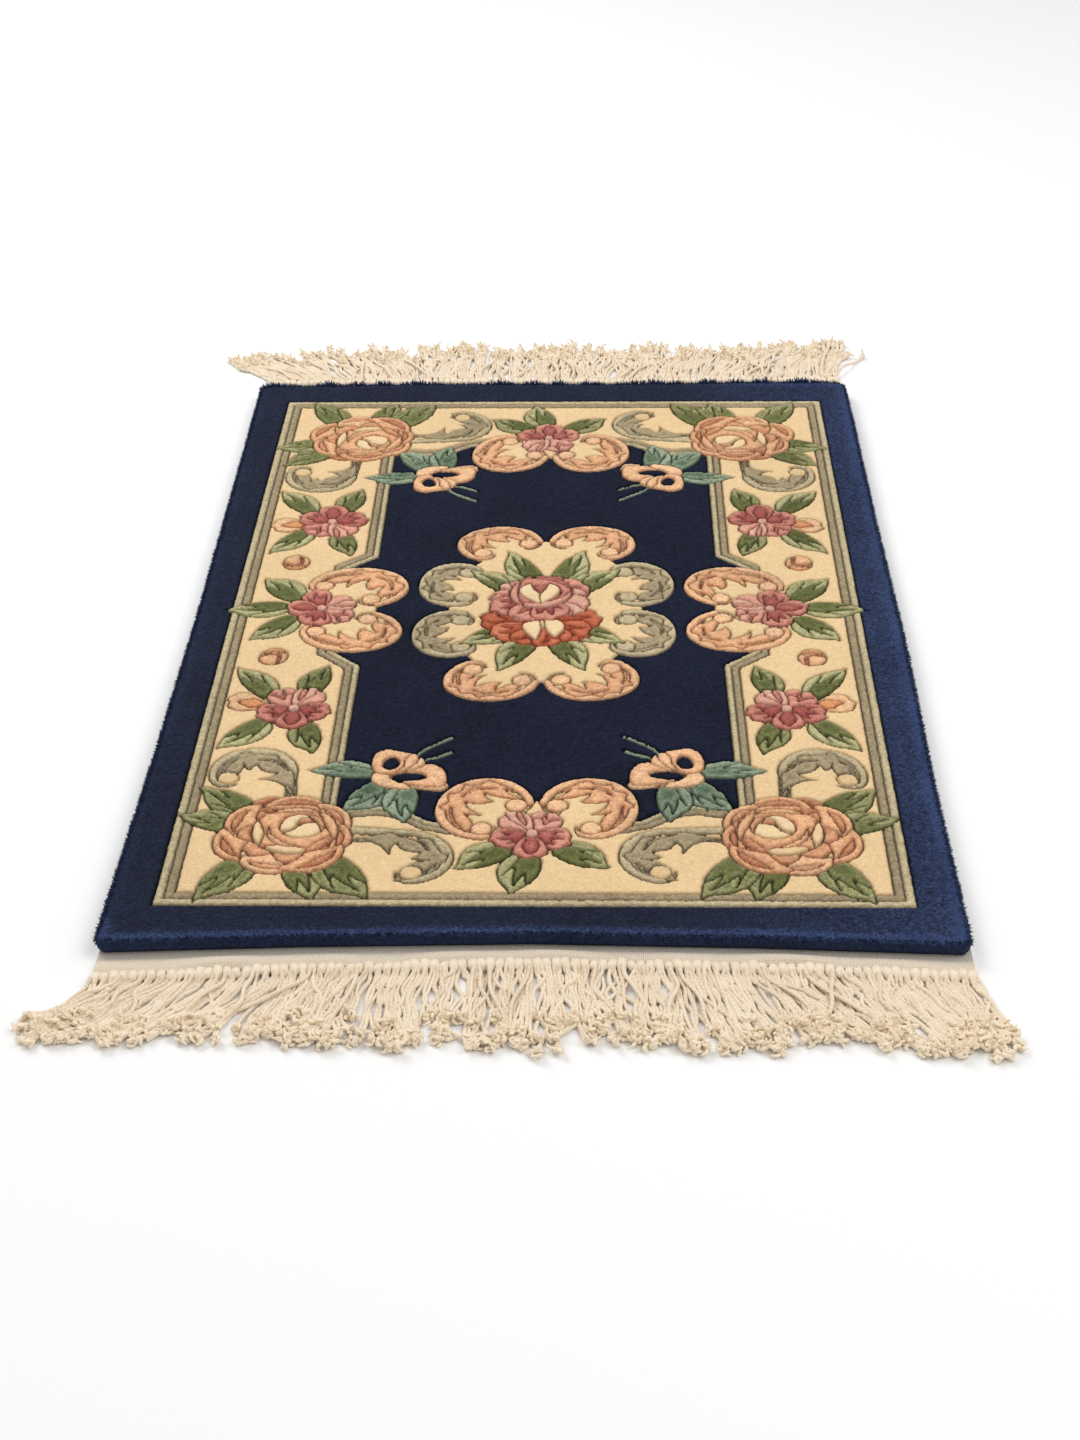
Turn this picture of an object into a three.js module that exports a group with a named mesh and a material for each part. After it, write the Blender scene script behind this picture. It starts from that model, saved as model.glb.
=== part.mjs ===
// A small carved wool rug, lying flat: a woven cotton foundation, a thick cut pile knotted on it,
// and a knotted cotton fringe along each end.
// Millimetres, +Z up. The origin is the middle of the underside. The near end is at -Y, +X is to the right.

import * as THREE from "three";

const gap = 0.3;
const foundation = { thickness: 2.6, left: -297, right: 302, nearBand: 13, farBand: 24 };
const pile = { nearCornerRadius: 7, farCornerRadius: 13, cornerSteps: 5 };
const fringe = { thickness: 6, heading: 9, toothPitch: 9.6, sweepPower: 1.4, raggedness: 0.06 };

// The pile's edge in plan, anticlockwise from the near left corner. The near end bows inwards.
const nearEdge = [
  { x: -306, y: -471 },
  { x: -160, y: -464 },
  { x: 0, y: -460 },
  { x: 160, y: -464 },
  { x: 306, y: -471 },
];
const rightEdge = [
  { x: 304, y: -275 },
  { x: 306, y: -55 },
  { x: 303.5, y: 165 },
  { x: 303, y: 385 },
];
const farEdge = [
  { x: 302, y: 473 },
  { x: 200, y: 474 },
  { x: 60, y: 470 },
  { x: -115, y: 472 },
  { x: -304, y: 467 },
];
const leftEdge = [
  { x: -303, y: 330 },
  { x: -301, y: 0 },
  { x: -302, y: -220 },
];

// The pile's side from its foot up over the sheared shoulder: how far in from the edge, and how high.
const pileSide = [
  { inset: 3, height: 0 },
  { inset: 0.8, height: 3.1 },
  { inset: 0, height: 6.6 },
  { inset: 1.1, height: 9.7 },
  { inset: 4, height: 11.6 },
  { inset: 8, height: 12.1 },
];
const foundationSide = [
  { inset: 0, height: 0 },
  { inset: 0, height: foundation.thickness },
];

// How the cords lie: from a place x on the heading they lean sideways and reach out past it.
const nearCords = [
  { x: -297, lean: -45, reach: 76 },
  { x: -270, lean: -60, reach: 74 },
  { x: -220, lean: -58, reach: 70 },
  { x: -170, lean: -32, reach: 74 },
  { x: -100, lean: -10, reach: 80 },
  { x: 0, lean: 2, reach: 84 },
  { x: 90, lean: 12, reach: 82 },
  { x: 150, lean: 28, reach: 78 },
  { x: 205, lean: 44, reach: 76 },
  { x: 255, lean: 42, reach: 80 },
  { x: 302, lean: 26, reach: 84 },
];
const farCords = [
  { x: -297, lean: -56, reach: 58 },
  { x: -270, lean: -72, reach: 66 },
  { x: -225, lean: -50, reach: 76 },
  { x: -175, lean: -18, reach: 84 },
  { x: -100, lean: 0, reach: 86 },
  { x: 0, lean: 3, reach: 88 },
  { x: 100, lean: 10, reach: 84 },
  { x: 165, lean: 26, reach: 82 },
  { x: 220, lean: 24, reach: 88 },
  { x: 302, lean: 14, reach: 98 },
];

// One tooth of the comb: how far along its reach, and its half width as a share of the pitch.
// It is a bundle of cords, drawn in towards the knots at their ends and frayed beyond them.
const toothSide = [
  { along: 0, half: 0.36 },
  { along: 0.4, half: 0.33 },
  { along: 0.74, half: 0.29 },
  { along: 0.86, half: 0.43 },
  { along: 1, half: 0.24 },
];

const wool = { color: 0x1a2547, roughness: 0.95, metalness: 0 };
const cotton = { color: 0xd9cbb0, roughness: 0.9, metalness: 0 };

// A column of a table at x, on straight lines between its rows, which run from left to right.
function valueAt(rows, x, column) {
  const after = rows.findIndex((row, i) => i > 0 && x <= row.x);
  const last = after < 0 ? rows.length - 1 : after;
  const [a, b] = [rows[last - 1], rows[last]];
  return THREE.MathUtils.mapLinear(x, a.x, b.x, a[column], b[column]);
}

// The arc that rounds the corner b between the lines to a and c.
function roundedCorner(a, b, c, radius) {
  const corner = new THREE.Vector2(b.x, b.y);
  const toA = new THREE.Vector2(a.x, a.y).sub(corner).normalize();
  const toC = new THREE.Vector2(c.x, c.y).sub(corner).normalize();
  const half = Math.acos(toA.dot(toC)) / 2;
  const centre = toA.clone().add(toC).setLength(radius / Math.sin(half)).add(corner);
  const start = toA.multiplyScalar(radius / Math.tan(half)).add(corner).sub(centre).angle();
  const turn = Math.PI - 2 * half;
  return Array.from({ length: pile.cornerSteps + 1 }, (_, i) => {
    const angle = start + (turn * i) / pile.cornerSteps;
    return new THREE.Vector2(Math.cos(angle), Math.sin(angle)).multiplyScalar(radius).add(centre);
  });
}

// The pile's whole edge as one anticlockwise loop.
function pileOutline() {
  const loop = [...nearEdge, ...rightEdge, ...farEdge, ...leftEdge];
  const radii = new Map([
    [nearEdge.at(0), pile.nearCornerRadius],
    [nearEdge.at(-1), pile.nearCornerRadius],
    [farEdge.at(0), pile.farCornerRadius],
    [farEdge.at(-1), pile.farCornerRadius],
  ]);
  return loop.flatMap((point, i) => {
    if (!radii.has(point)) return [new THREE.Vector2(point.x, point.y)];
    return roundedCorner(loop.at(i - 1), point, loop[(i + 1) % loop.length], radii.get(point));
  });
}

// The loop moved inwards, square to its edges.
function movedIn(loop, distance) {
  return loop.map((point, i) => {
    const before = point.clone().sub(loop.at(i - 1)).normalize();
    const after = loop[(i + 1) % loop.length].clone().sub(point).normalize();
    const mitre = new THREE.Vector2(-before.y - after.y, before.x + after.x).normalize();
    const slant = mitre.y * before.x - mitre.x * before.y;
    return mitre.multiplyScalar(distance / slant).add(point);
  });
}

// A closed slab on an anticlockwise loop, whose side follows a table of inset and height.
function slab(loop, side) {
  const corners = side.flatMap((row) => movedIn(loop, row.inset).map((p) => [p.x, p.y, row.height]));
  const count = loop.length;
  const lastRing = count * (side.length - 1);
  const faces = [];
  for (let ring = 0; ring < lastRing; ring += count) {
    for (let i = 0; i < count; i++) {
      const a = ring + i;
      const b = ring + ((i + 1) % count);
      faces.push(a, b, b + count, a, b + count, a + count);
    }
  }
  for (const [a, b, c] of THREE.ShapeUtils.triangulateShape(loop, [])) {
    faces.push(a, c, b, a + lastRing, b + lastRing, c + lastRing);
  }
  const geometry = new THREE.BufferGeometry();
  geometry.setAttribute("position", new THREE.Float32BufferAttribute(corners.flat(), 3));
  geometry.setIndex(faces);
  geometry.computeVertexNormals();
  return geometry;
}

// The line, from left to right, where a bare woven band ends and its fringe starts.
function headingLine(edge, offset) {
  const { left, right } = foundation;
  const inner = edge.map((point) => point.x).filter((x) => x > left && x < right);
  return [left, ...inner, right].map((x) => new THREE.Vector2(x, valueAt(edge, x, "y") + offset));
}

// A comb along one heading. Its straight teeth are bent sideways and stretched as the cords lie.
function combGeometry(heading, cords, outwards) {
  const span = foundation.right - foundation.left;
  const teeth = Math.round(span / fringe.toothPitch);
  const pitch = span / teeth;
  const place = (x, along) => {
    const start = valueAt(heading, x, "y") + outwards * gap;
    const reach = fringe.heading + along * valueAt(cords, x, "reach");
    const lean = valueAt(cords, x, "lean") * along ** fringe.sweepPower;
    return new THREE.Vector2(x + lean, start + outwards * reach);
  };
  const loop = heading.map((point) => new THREE.Vector2(point.x, point.y + outwards * gap)).reverse();
  for (let i = 0; i < teeth; i++) {
    const middle = foundation.left + pitch * (i + 0.5);
    const length = 1 - fringe.raggedness * (1 + Math.sin(i * i));
    const halfWidths = toothSide.map((row) => ({ along: row.along * length, half: row.half * pitch }));
    for (const { along, half } of halfWidths) loop.push(place(middle - half, along));
    for (const { along, half } of halfWidths.reverse()) loop.push(place(middle + half, along));
  }
  const shape = new THREE.Shape(loop);
  return new THREE.ExtrudeGeometry(shape, { depth: fringe.thickness, bevelEnabled: false });
}

function piece(name, geometry, finish) {
  const mesh = new THREE.Mesh(geometry, new THREE.MeshStandardMaterial(finish));
  mesh.name = name;
  return mesh;
}

const nearHeading = headingLine(nearEdge, -foundation.nearBand);
const farHeading = headingLine([...farEdge].reverse(), foundation.farBand);
const groundLoop = [...nearHeading, ...[...farHeading].reverse()];

const rug = new THREE.Group();
rug.add(piece("foundation", slab(groundLoop, foundationSide), cotton));
rug.add(piece("fringe_near", combGeometry(nearHeading, nearCords, -1), cotton));
rug.add(piece("fringe_far", combGeometry(farHeading, farCords, 1), cotton));

const pileMesh = piece("pile", slab(pileOutline(), pileSide), wool);
pileMesh.position.z = foundation.thickness + gap;
rug.add(pileMesh);

export default rug;
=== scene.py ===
# The looks of a small carved wool rug, lying flat: cut pile in relief, a woven ground, knotted fringes.
# Drawings are in millimetres and meshes in metres. +X is to the right, +Y to the far end, +Z up.

import math
import random

import bmesh
import bpy
import numpy as np
from mathutils import Matrix, Vector
from mathutils.geometry import delaunay_2d_cdt
from mathutils.kdtree import KDTree


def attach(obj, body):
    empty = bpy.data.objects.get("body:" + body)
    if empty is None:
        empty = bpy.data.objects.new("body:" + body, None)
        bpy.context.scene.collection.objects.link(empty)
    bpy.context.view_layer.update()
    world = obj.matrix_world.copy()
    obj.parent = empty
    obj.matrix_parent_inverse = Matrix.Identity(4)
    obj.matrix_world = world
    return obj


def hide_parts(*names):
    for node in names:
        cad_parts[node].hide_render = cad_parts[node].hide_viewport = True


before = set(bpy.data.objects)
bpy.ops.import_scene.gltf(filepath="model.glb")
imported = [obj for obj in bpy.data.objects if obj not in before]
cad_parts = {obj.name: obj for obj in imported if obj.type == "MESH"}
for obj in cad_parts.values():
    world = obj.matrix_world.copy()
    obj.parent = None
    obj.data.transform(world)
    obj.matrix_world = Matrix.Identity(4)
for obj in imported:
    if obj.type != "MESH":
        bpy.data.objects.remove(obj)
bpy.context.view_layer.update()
mm = 0.001
rng = random.Random(11)
noise = np.random.default_rng(11)


# Camera and studio

cameraLook = {
    "place": (0.0455, -1.7311, 0.9999),
    "pitchDown": 32.446,
    "yaw": 1.679,      # degrees to the left of +Y
    "roll": -0.865,
    "lens": 57.345,
    "sensor": 36,
}


def makeCamera(look):
    pitch = math.radians(look["pitchDown"])
    yaw = -math.radians(look["yaw"])
    roll = math.radians(look["roll"])
    forward = Vector((math.sin(yaw) * math.cos(pitch), math.cos(yaw) * math.cos(pitch), -math.sin(pitch)))
    level = Vector((math.cos(yaw), -math.sin(yaw), 0))
    above = level.cross(forward)
    right = level * math.cos(roll) + above * math.sin(roll)
    up = above * math.cos(roll) - level * math.sin(roll)
    data = bpy.data.cameras.new("camera")
    data.lens = look["lens"]
    data.sensor_width = look["sensor"]
    camera = bpy.data.objects.new("camera", data)
    bpy.context.scene.collection.objects.link(camera)
    turn = Matrix((right, up, -forward)).transposed()
    camera.matrix_world = Matrix.Translation(look["place"]) @ turn.to_4x4()
    bpy.context.scene.camera = camera


studioLook = {
    "floorSize": 9,
    "floorColour": (0.94, 0.94, 0.94, 1),
    "worldColour": (1.0, 1.0, 1.0, 1),
    "worldStrength": 0.6,
    # each softbox: where it hangs, how large it is and how strong, in metres and watts
    "softboxes": [
        {"place": (-1.6, 1.5, 2.3), "size": 1.8, "power": 46},
        {"place": (1.8, -0.6, 2.4), "size": 2.0, "power": 31},
    ],
}


def makeStudio(look):
    scene = bpy.context.scene
    scene.view_settings.view_transform = "Standard"
    world = bpy.data.worlds.new("studio")
    world.use_nodes = True
    backdrop = world.node_tree.nodes["Background"]
    backdrop.inputs["Color"].default_value = look["worldColour"]
    backdrop.inputs["Strength"].default_value = look["worldStrength"]
    scene.world = world
    for number, box in enumerate(look["softboxes"]):
        light = bpy.data.lights.new(f"softbox{number}", "AREA")
        light.size = box["size"]
        light.energy = box["power"]
        lamp = bpy.data.objects.new(f"softbox{number}", light)
        lamp.location = box["place"]
        lamp.rotation_euler = (-Vector(box["place"])).to_track_quat("-Z", "Y").to_euler()
        scene.collection.objects.link(lamp)
    half = look["floorSize"] / 2
    corners = [(-half, -half, 0), (half, -half, 0), (half, half, 0), (-half, half, 0)]
    mesh = bpy.data.meshes.new("floor")
    mesh.from_pydata(corners, [], [(0, 1, 2, 3)])
    floor = bpy.data.objects.new("floor", mesh)
    floor.location.z = -0.0002
    material = bpy.data.materials.new("paleFloor")
    material.use_nodes = True
    surface = material.node_tree.nodes["Principled BSDF"]
    surface.inputs["Base Color"].default_value = look["floorColour"]
    surface.inputs["Roughness"].default_value = 0.9
    mesh.materials.append(material)
    scene.collection.objects.link(floor)


makeCamera(cameraLook)
makeStudio(studioLook)
print("camera and studio")


# Drawing: outlines are complex numbers in millimetres, seen from above

islands = []   # one dictionary for each patch of yarn, in the order in which they lie over each other


def island(outline, yarn, tone, inside=None, rise=0.0, flow=None):
    # inside is the island that clips this one; those of one flow run together without a groove
    row = {"outline": np.array(outline), "yarn": yarn, "tone": tone, "inside": inside, "rise": rise,
           "flow": flow}
    islands.append(row)
    return len(islands) - 1


def polar(radius, degrees):
    return radius * np.exp(1j * np.radians(degrees))


def evenly(line, step, closed=True):
    points = np.append(line, line[0]) if closed else line
    along = np.concatenate([[0], np.cumsum(abs(np.diff(points)))])
    count = max(3, int(round(along[-1] / step)))
    at = np.linspace(0, along[-1], count + 1)
    if closed:
        at = at[:-1]
    return np.interp(at, along, points.real) + 1j * np.interp(at, along, points.imag)


def smooth(points, closed=True, steps=6):
    # a soft curve through the points; a point that is given twice is a corner
    p = np.asarray(points, dtype=complex)
    if closed:
        before, after, second = np.roll(p, 1), np.roll(p, -1), np.roll(p, -2)
    else:
        before = np.concatenate([p[:1], p[:-1]])
        after = np.concatenate([p[1:], p[-1:]])
        second = np.concatenate([p[2:], p[-1:], p[-1:]])
    t = (np.arange(steps) / steps)[None, :]
    a, b, c, d = before[:, None], p[:, None], after[:, None], second[:, None]
    bend, turn = 2 * a - 5 * b + 4 * c - d, 3 * b - a - 3 * c + d
    curve = 0.5 * (2 * b + (c - a) * t + bend * t ** 2 + turn * t ** 3)
    still = abs(p - after) < 1e-9
    rows = curve[~still] if closed else curve[:-1][~still[:-1]]
    line = rows.ravel()
    return line if closed else np.append(line, p[-1])


def pairs(corners):
    return np.array([complex(a, b) for a, b in corners])


def arcs(corners, steps=6):
    # straight from corner to corner, except that each side bulges by the third number times its length
    points = pairs([row[:2] for row in corners])
    bulges = np.array([row[2] if len(row) > 2 else 0 for row in corners])
    t = (np.arange(steps) / steps)[None, :]
    side = (np.roll(points, -1) - points)[:, None]
    return (points[:, None] + side * (t - 4j * bulges[:, None] * t * (1 - t))).ravel()


def movedOut(outline, distance):
    # an anticlockwise outline, moved outwards square to its sides
    before = outline - np.roll(outline, 1)
    after = np.roll(outline, -1) - outline
    before, after = before / abs(before), after / abs(after)
    mitre = -1j * (before + after)
    mitre /= abs(mitre)
    return outline + mitre * distance / (mitre * np.conj(-1j * before)).real


def ellipse(centre, wide, high, tilt=0, steps=36):
    angle = np.radians(np.arange(0, 360, 360 / steps))
    return centre + (wide * np.cos(angle) + 1j * high * np.sin(angle)) * np.exp(1j * math.radians(tilt))


def ribbon(path, halfWidths):
    along = np.gradient(path)
    side = 1j * along / abs(along)
    return np.concatenate([path + side * halfWidths, (path - side * halfWidths)[::-1]])


def crescent(radius, turn, span, thick):
    # a sliver inside a circle, thickest at the angle turn
    angle = np.linspace(turn - span / 2, turn + span / 2, 24)
    belly = np.sin(np.linspace(0, np.pi, 24)) ** 0.8 * thick
    return np.concatenate([polar(radius, angle), polar(radius - belly, angle)[::-1][1:-1]])


def strip(base, tip, width, bow=0.0, hook=0.0):
    # the frame of a leaf or petal: u goes from -1 to 1 across it, and t from 0 at its foot to 1 at its tip
    axis = tip - base

    def at(points):
        u, t = points.real, points.imag
        along = np.clip(t, 0, 1)
        spine = base + axis * (t + 1j * (bow * np.sin(np.pi * along) + hook * along ** 4))
        return spine - 1j * axis / abs(axis) * u * width / 2

    return at


# Leaves: outline and jagged dark part, in the frame of the leaf
leafLook = {
    "outline": [(0, 0), (0, 0), (0.72, 0.13), (1, 0.38), (0.86, 0.64), (0.36, 0.87), (0, 1), (0, 1),
                (-0.22, 0.88), (-0.76, 0.68), (-1, 0.42), (-0.75, 0.15)],
    "dark": [(-0.1, -0.1, 0.1), (-0.66, 0.6, 0.08), (-0.16, 0.4, -0.1), (0.02, 0.84, 0.14), (0.4, 0.52, -0.1),
             (0.62, 0.8, 0), (1.4, 0.7, 0), (1.4, -0.1, 0)],
}


def leaf(base, tip, yarn="green", side=1, width=27, bow=0.08, hook=0.12, tones=(0.9, 0.25), rise=0.5):
    at = strip(base, tip, width, bow * side, hook * side)
    flip = (lambda z: z) if side > 0 else (lambda z: -np.conj(z))
    lightTone = tones[0] + rng.uniform(-0.12, 0.08)
    whole = island(at(flip(smooth(pairs(leafLook["outline"])))), yarn, lightTone, rise=rise)
    island(at(flip(arcs(leafLook["dark"]))), yarn, tones[1] + rng.uniform(-0.1, 0.1), inside=whole,
           rise=rise + 0.2)


# Petals: outline, and the folds that cross it with how much lighter or darker they are
petalLook = {
    "outline": [(0, 0), (0, 0), (0.62, 0.24), (1, 0.58), (0.9, 0.84), (0.5, 0.95), (0.12, 1.04),
                (-0.16, 0.95), (-0.6, 0.93), (-0.98, 0.74), (-1, 0.56), (-0.62, 0.26)],
    "folds": {
        "rim": [{"shift": -0.42, "corners": [(0, -0.05, 0.1), (0.66, 0.66, 0.1), (0.24, 0.5, -0.1),
                                             (0.0, 0.82, 0.1), (-0.26, 0.5, -0.1), (-0.66, 0.68, 0.1)]}],
        "wedge": [{"shift": -0.45, "corners": [(0, -0.05, 0.1), (0.46, 0.76, 0.1), (0.06, 0.52, -0.1),
                                               (-0.4, 0.82, 0.1)]},
                  {"shift": 0.2, "corners": [(-0.4, 0.9, -0.12), (0.55, 0.84, 0), (0.8, 1.2), (-0.7, 1.2)]}],
        "half": [{"shift": 0.3, "corners": [(0.0, -0.05, 0.1), (-0.2, 0.72, 0.1), (0.1, 1.2), (1.5, 1.2),
                                            (1.5, 0)]},
                 {"shift": -0.2, "corners": [(0.2, 0.3, 0.1), (0.8, 0.84, 0.2), (0.35, 0.7, 0.1)]}],
        "crease": [{"shift": -0.32, "corners": [(-0.7, 0.52, -0.2), (0.15, 0.42, -0.1), (0.72, 0.8, 0.2),
                                                (0.2, 0.64, -0.1), (-0.3, 0.9, 0.2), (-0.22, 0.6, 0.1)]}],
        "point": [{"shift": -0.45, "corners": [(0, 0.02, 0.1), (0.5, 0.5, 0.1), (0, 0.86, 0.1),
                                               (-0.5, 0.5, 0.1)]}],
    },
}


def petal(base, tip, width, yarn, tone, fold, side=1, rise=0.7):
    at = strip(base, tip, width)
    flip = (lambda z: z) if side > 0 else (lambda z: -np.conj(z))
    whole = island(at(flip(smooth(pairs(petalLook["outline"])))), yarn, tone, rise=rise)
    for patch in petalLook["folds"][fold]:
        island(at(flip(arcs(patch["corners"]))), yarn, tone + patch["shift"], inside=whole, rise=rise)


# Small flowers: five petals, the last of them the one that points away from the rug's middle.
# Turns are in degrees from that petal; the leaves' and petals' tones go from 0, dark, to 1, light.
smallFlowerLook = {
    "radius": 33,
    "width": 27.5,
    "button": 5.0,
    "petals": [
        {"turn": 147, "tone": 0.9, "fold": "crease"},
        {"turn": -147, "tone": 0.95, "fold": "half"},
        {"turn": 74, "tone": 0.62, "fold": "rim"},
        {"turn": -74, "tone": 0.55, "fold": "rim"},
        {"turn": 0, "tone": 0.6, "fold": "point"},
    ],
}


def smallFlower(centre, facing, flip=1, dusk=0.0):
    look = smallFlowerLook
    for row in look["petals"]:
        angle = facing + flip * row["turn"]
        away = polar(1, angle + rng.uniform(-5, 5))
        reach = look["radius"] * rng.uniform(0.92, 1.03)
        width = look["width"] * rng.uniform(0.92, 1.06)
        tone = row["tone"] - dusk * rng.uniform(0.4, 1)
        petal(centre + away * 0.5, centre + away * reach, width, "pink", tone, row["fold"], flip)
    island(ellipse(centre, look["button"], look["button"], 0, 12), "pink", 1.25, rise=0.9)


# Roses, drawn for the near left corner around their middle, in millimetres
roseLook = {
    # each outer petal is a lens: its angle, how far out it is centred, radius, angle covered and thickness
    "petals": [
        {"turn": 118, "away": 29, "radius": 22, "span": 120, "thick": 28, "tone": 0.2},
        {"turn": 154, "away": 25, "radius": 27, "span": 132, "thick": 30, "tone": 0.66},
        {"turn": 80, "away": 22, "radius": 28, "span": 150, "thick": 32, "tone": 0.6},
        {"turn": 32, "away": 26, "radius": 25, "span": 132, "thick": 30, "tone": 0.72},
        {"turn": 348, "away": 27, "radius": 22, "span": 130, "thick": 28, "tone": 0.5},
        {"turn": 252, "away": 26, "radius": 27, "span": 126, "thick": 28, "tone": 0.92},
        {"turn": 201, "away": 30, "radius": 27, "span": 126, "thick": 34, "tone": 0.6},
        {"turn": 304, "away": 26, "radius": 29, "span": 140, "thick": 38, "tone": 0.52},
    ],
    "fold": {"ahead": 8, "inset": 6.0, "span": 0.7, "thick": 0.2, "shade": 0.36},
    "ground": {"radius": 38, "tone": 0.35},
    "cup": {"x": 5, "y": 3, "wide": 33, "high": 30, "tone": 0.55},
    # slivers of the cup's inner petals: angle, distance from its middle, angle covered, thickness
    "slivers": [
        {"turn": 186, "radius": 32, "span": 66, "thick": 9, "yarn": "cream", "tone": 0.55},
        {"turn": 262, "radius": 30, "span": 76, "thick": 12, "yarn": "cream", "tone": 0.5},
        {"turn": 225, "radius": 21, "span": 120, "thick": 5, "yarn": "rose", "tone": 0.85},
        {"turn": 318, "radius": 31, "span": 70, "thick": 8, "yarn": "rose", "tone": 0.3},
        {"turn": 20, "radius": 32, "span": 84, "thick": 8, "yarn": "rose", "tone": 0.75},
        {"turn": 92, "radius": 30, "span": 80, "thick": 6, "yarn": "rose", "tone": 0.8},
    ],
    "heart": {"x": 10, "y": 9, "wide": 17, "high": 15.5, "tone": 0.66},
    # inside the heart: a line across it, a small eye, and the sliver that covers its edge
    "heartFold": [(-18, -8), (-9, -6), (-2, 2), (6, 5), (17, 3)],
    "eye": [(-4, 3), (-1, 10), (6, 11), (9, 5), (2, 5)],
    "lid": {"turn": 32.5, "span": 125, "thick": 5},
}


def rose(centre, yarn, place):
    # place turns a point of the drawing to the quarter of the rug that this rose is in
    look = roseLook

    def lens(row, turn, radius, span, thick):
        return centre + place(polar(row["away"], row["turn"]) + crescent(radius, turn, span, thick))

    under = look["ground"]
    island(ellipse(centre, under["radius"], under["radius"]), yarn, under["tone"], rise=0.5)
    fold = look["fold"]
    for row in look["petals"]:
        outline = lens(row, row["turn"], row["radius"], row["span"], row["thick"])
        whole = island(outline, yarn, row["tone"], rise=0.8)
        inner = lens(row, row["turn"] + fold["ahead"], row["radius"] - fold["inset"],
                     row["span"] * fold["span"], row["thick"] * fold["thick"])
        island(inner, yarn, row["tone"] - fold["shade"], inside=whole, rise=0.8)
    cup = look["cup"]
    middle = centre + place(complex(cup["x"], cup["y"]))
    whole = island(ellipse(middle, cup["wide"], cup["high"]), yarn, cup["tone"], rise=1.0)
    for row in look["slivers"]:
        line = crescent(row["radius"], row["turn"], row["span"], row["thick"])
        family = yarn if row["yarn"] == "rose" else "cream"
        island(middle + place(line), family, row["tone"], inside=whole, rise=1.1)
    heart = look["heart"]
    core = centre + place(complex(heart["x"], heart["y"]))
    whole = island(ellipse(core, heart["wide"], heart["high"]), "cream", heart["tone"], rise=0.8)
    line = smooth(core + place(pairs(look["heartFold"])), closed=False)
    island(ribbon(line, np.linspace(1.2, 0.6, len(line))), yarn, 0.6, inside=whole, rise=1.0)
    island(evenly(core + place(pairs(look["eye"])), 1.5), yarn, 0.4, inside=whole, rise=1.0)
    lid = look["lid"]
    line = crescent(heart["wide"], lid["turn"], lid["span"], lid["thick"])
    island(core + place(line), yarn, 0.7, inside=whole, rise=1.2)


# Scrolls: a rim on an ellipse, curled round a disc at one end or both, with a feathered leaf inside it.
# The leaf's corners are in the ellipse's own units: first towards its back, second towards its start,
# third how far the side that follows bulges.
scrollLook = {
    "band": 4.1,          # half the width of the rim
    "volute": 8.4,        # radius of the round ends
    "hook": {"radius": 11.0, "turn": 115},               # how the rim turns round them
    "lining": {"inset": 5.5, "half": 3.6},               # the strip of feather that lines the rim
    "shades": {"peach": 0.52, "sage": 0.46},             # tones of the feather
    "light": 0.85,        # tone of the rim and of the slits
    "ground": 0.97,       # size of the cream ground
    "feather": [(-0.36, 0.72, 0.16), (0.42, 0.40, 0.12), (-0.10, 0.18, -0.14), (0.48, 0.10, 0.14),
                (0.06, -0.26, -0.12), (0.40, -0.34, 0.1), (-0.30, -0.76, -0.16), (0.30, -0.74, 0.1),
                (0.62, -0.64, 0.08), (0.64, -0.42, -0.1), (0.87, -0.26, 0.1), (0.76, -0.08, -0.1),
                (0.89, 0.14, 0.1), (0.72, 0.30, -0.1), (0.72, 0.56, 0.1), (0.50, 0.56, -0.08),
                (0.18, 0.78, 0)],
    "leafyFeather": [(-0.24, 0.80, 0.0), (-0.14, 0.64, 0.18), (0.56, 0.18, 0.1), (0.15, 0.06, -0.16),
                     (0.36, -0.14, 0.22), (-0.06, -0.54, -0.16), (-0.26, -0.12, -0.12), (-0.62, -0.66, 0.0),
                     (-1.5, -0.74, 0), (-1.5, -0.88, 0), (-0.70, -0.84, 0), (-0.22, -0.90, 0.1),
                     (0.12, -0.72, -0.1), (0.60, -0.60, 0.1), (0.68, -0.20, -0.1), (0.90, 0.06, 0.1),
                     (0.72, 0.34, 0.1), (0.40, 0.68, 0.1)],
    # light slits in the feather, from end to end
    "slits": [[(-0.10, 0.74), (0.24, 0.66), (0.56, 0.40)], [(0.62, 0.06), (0.62, -0.28), (0.30, -0.60)]],
    "leafySlits": [[(-0.10, 0.72), (0.34, 0.60), (0.64, 0.30)],
                   [(0.52, -0.14), (0.40, -0.52), (-0.06, -0.80)],
                   [(-0.40, -0.36), (-0.72, -0.74), (-1.5, -0.8)]],
}


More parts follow.
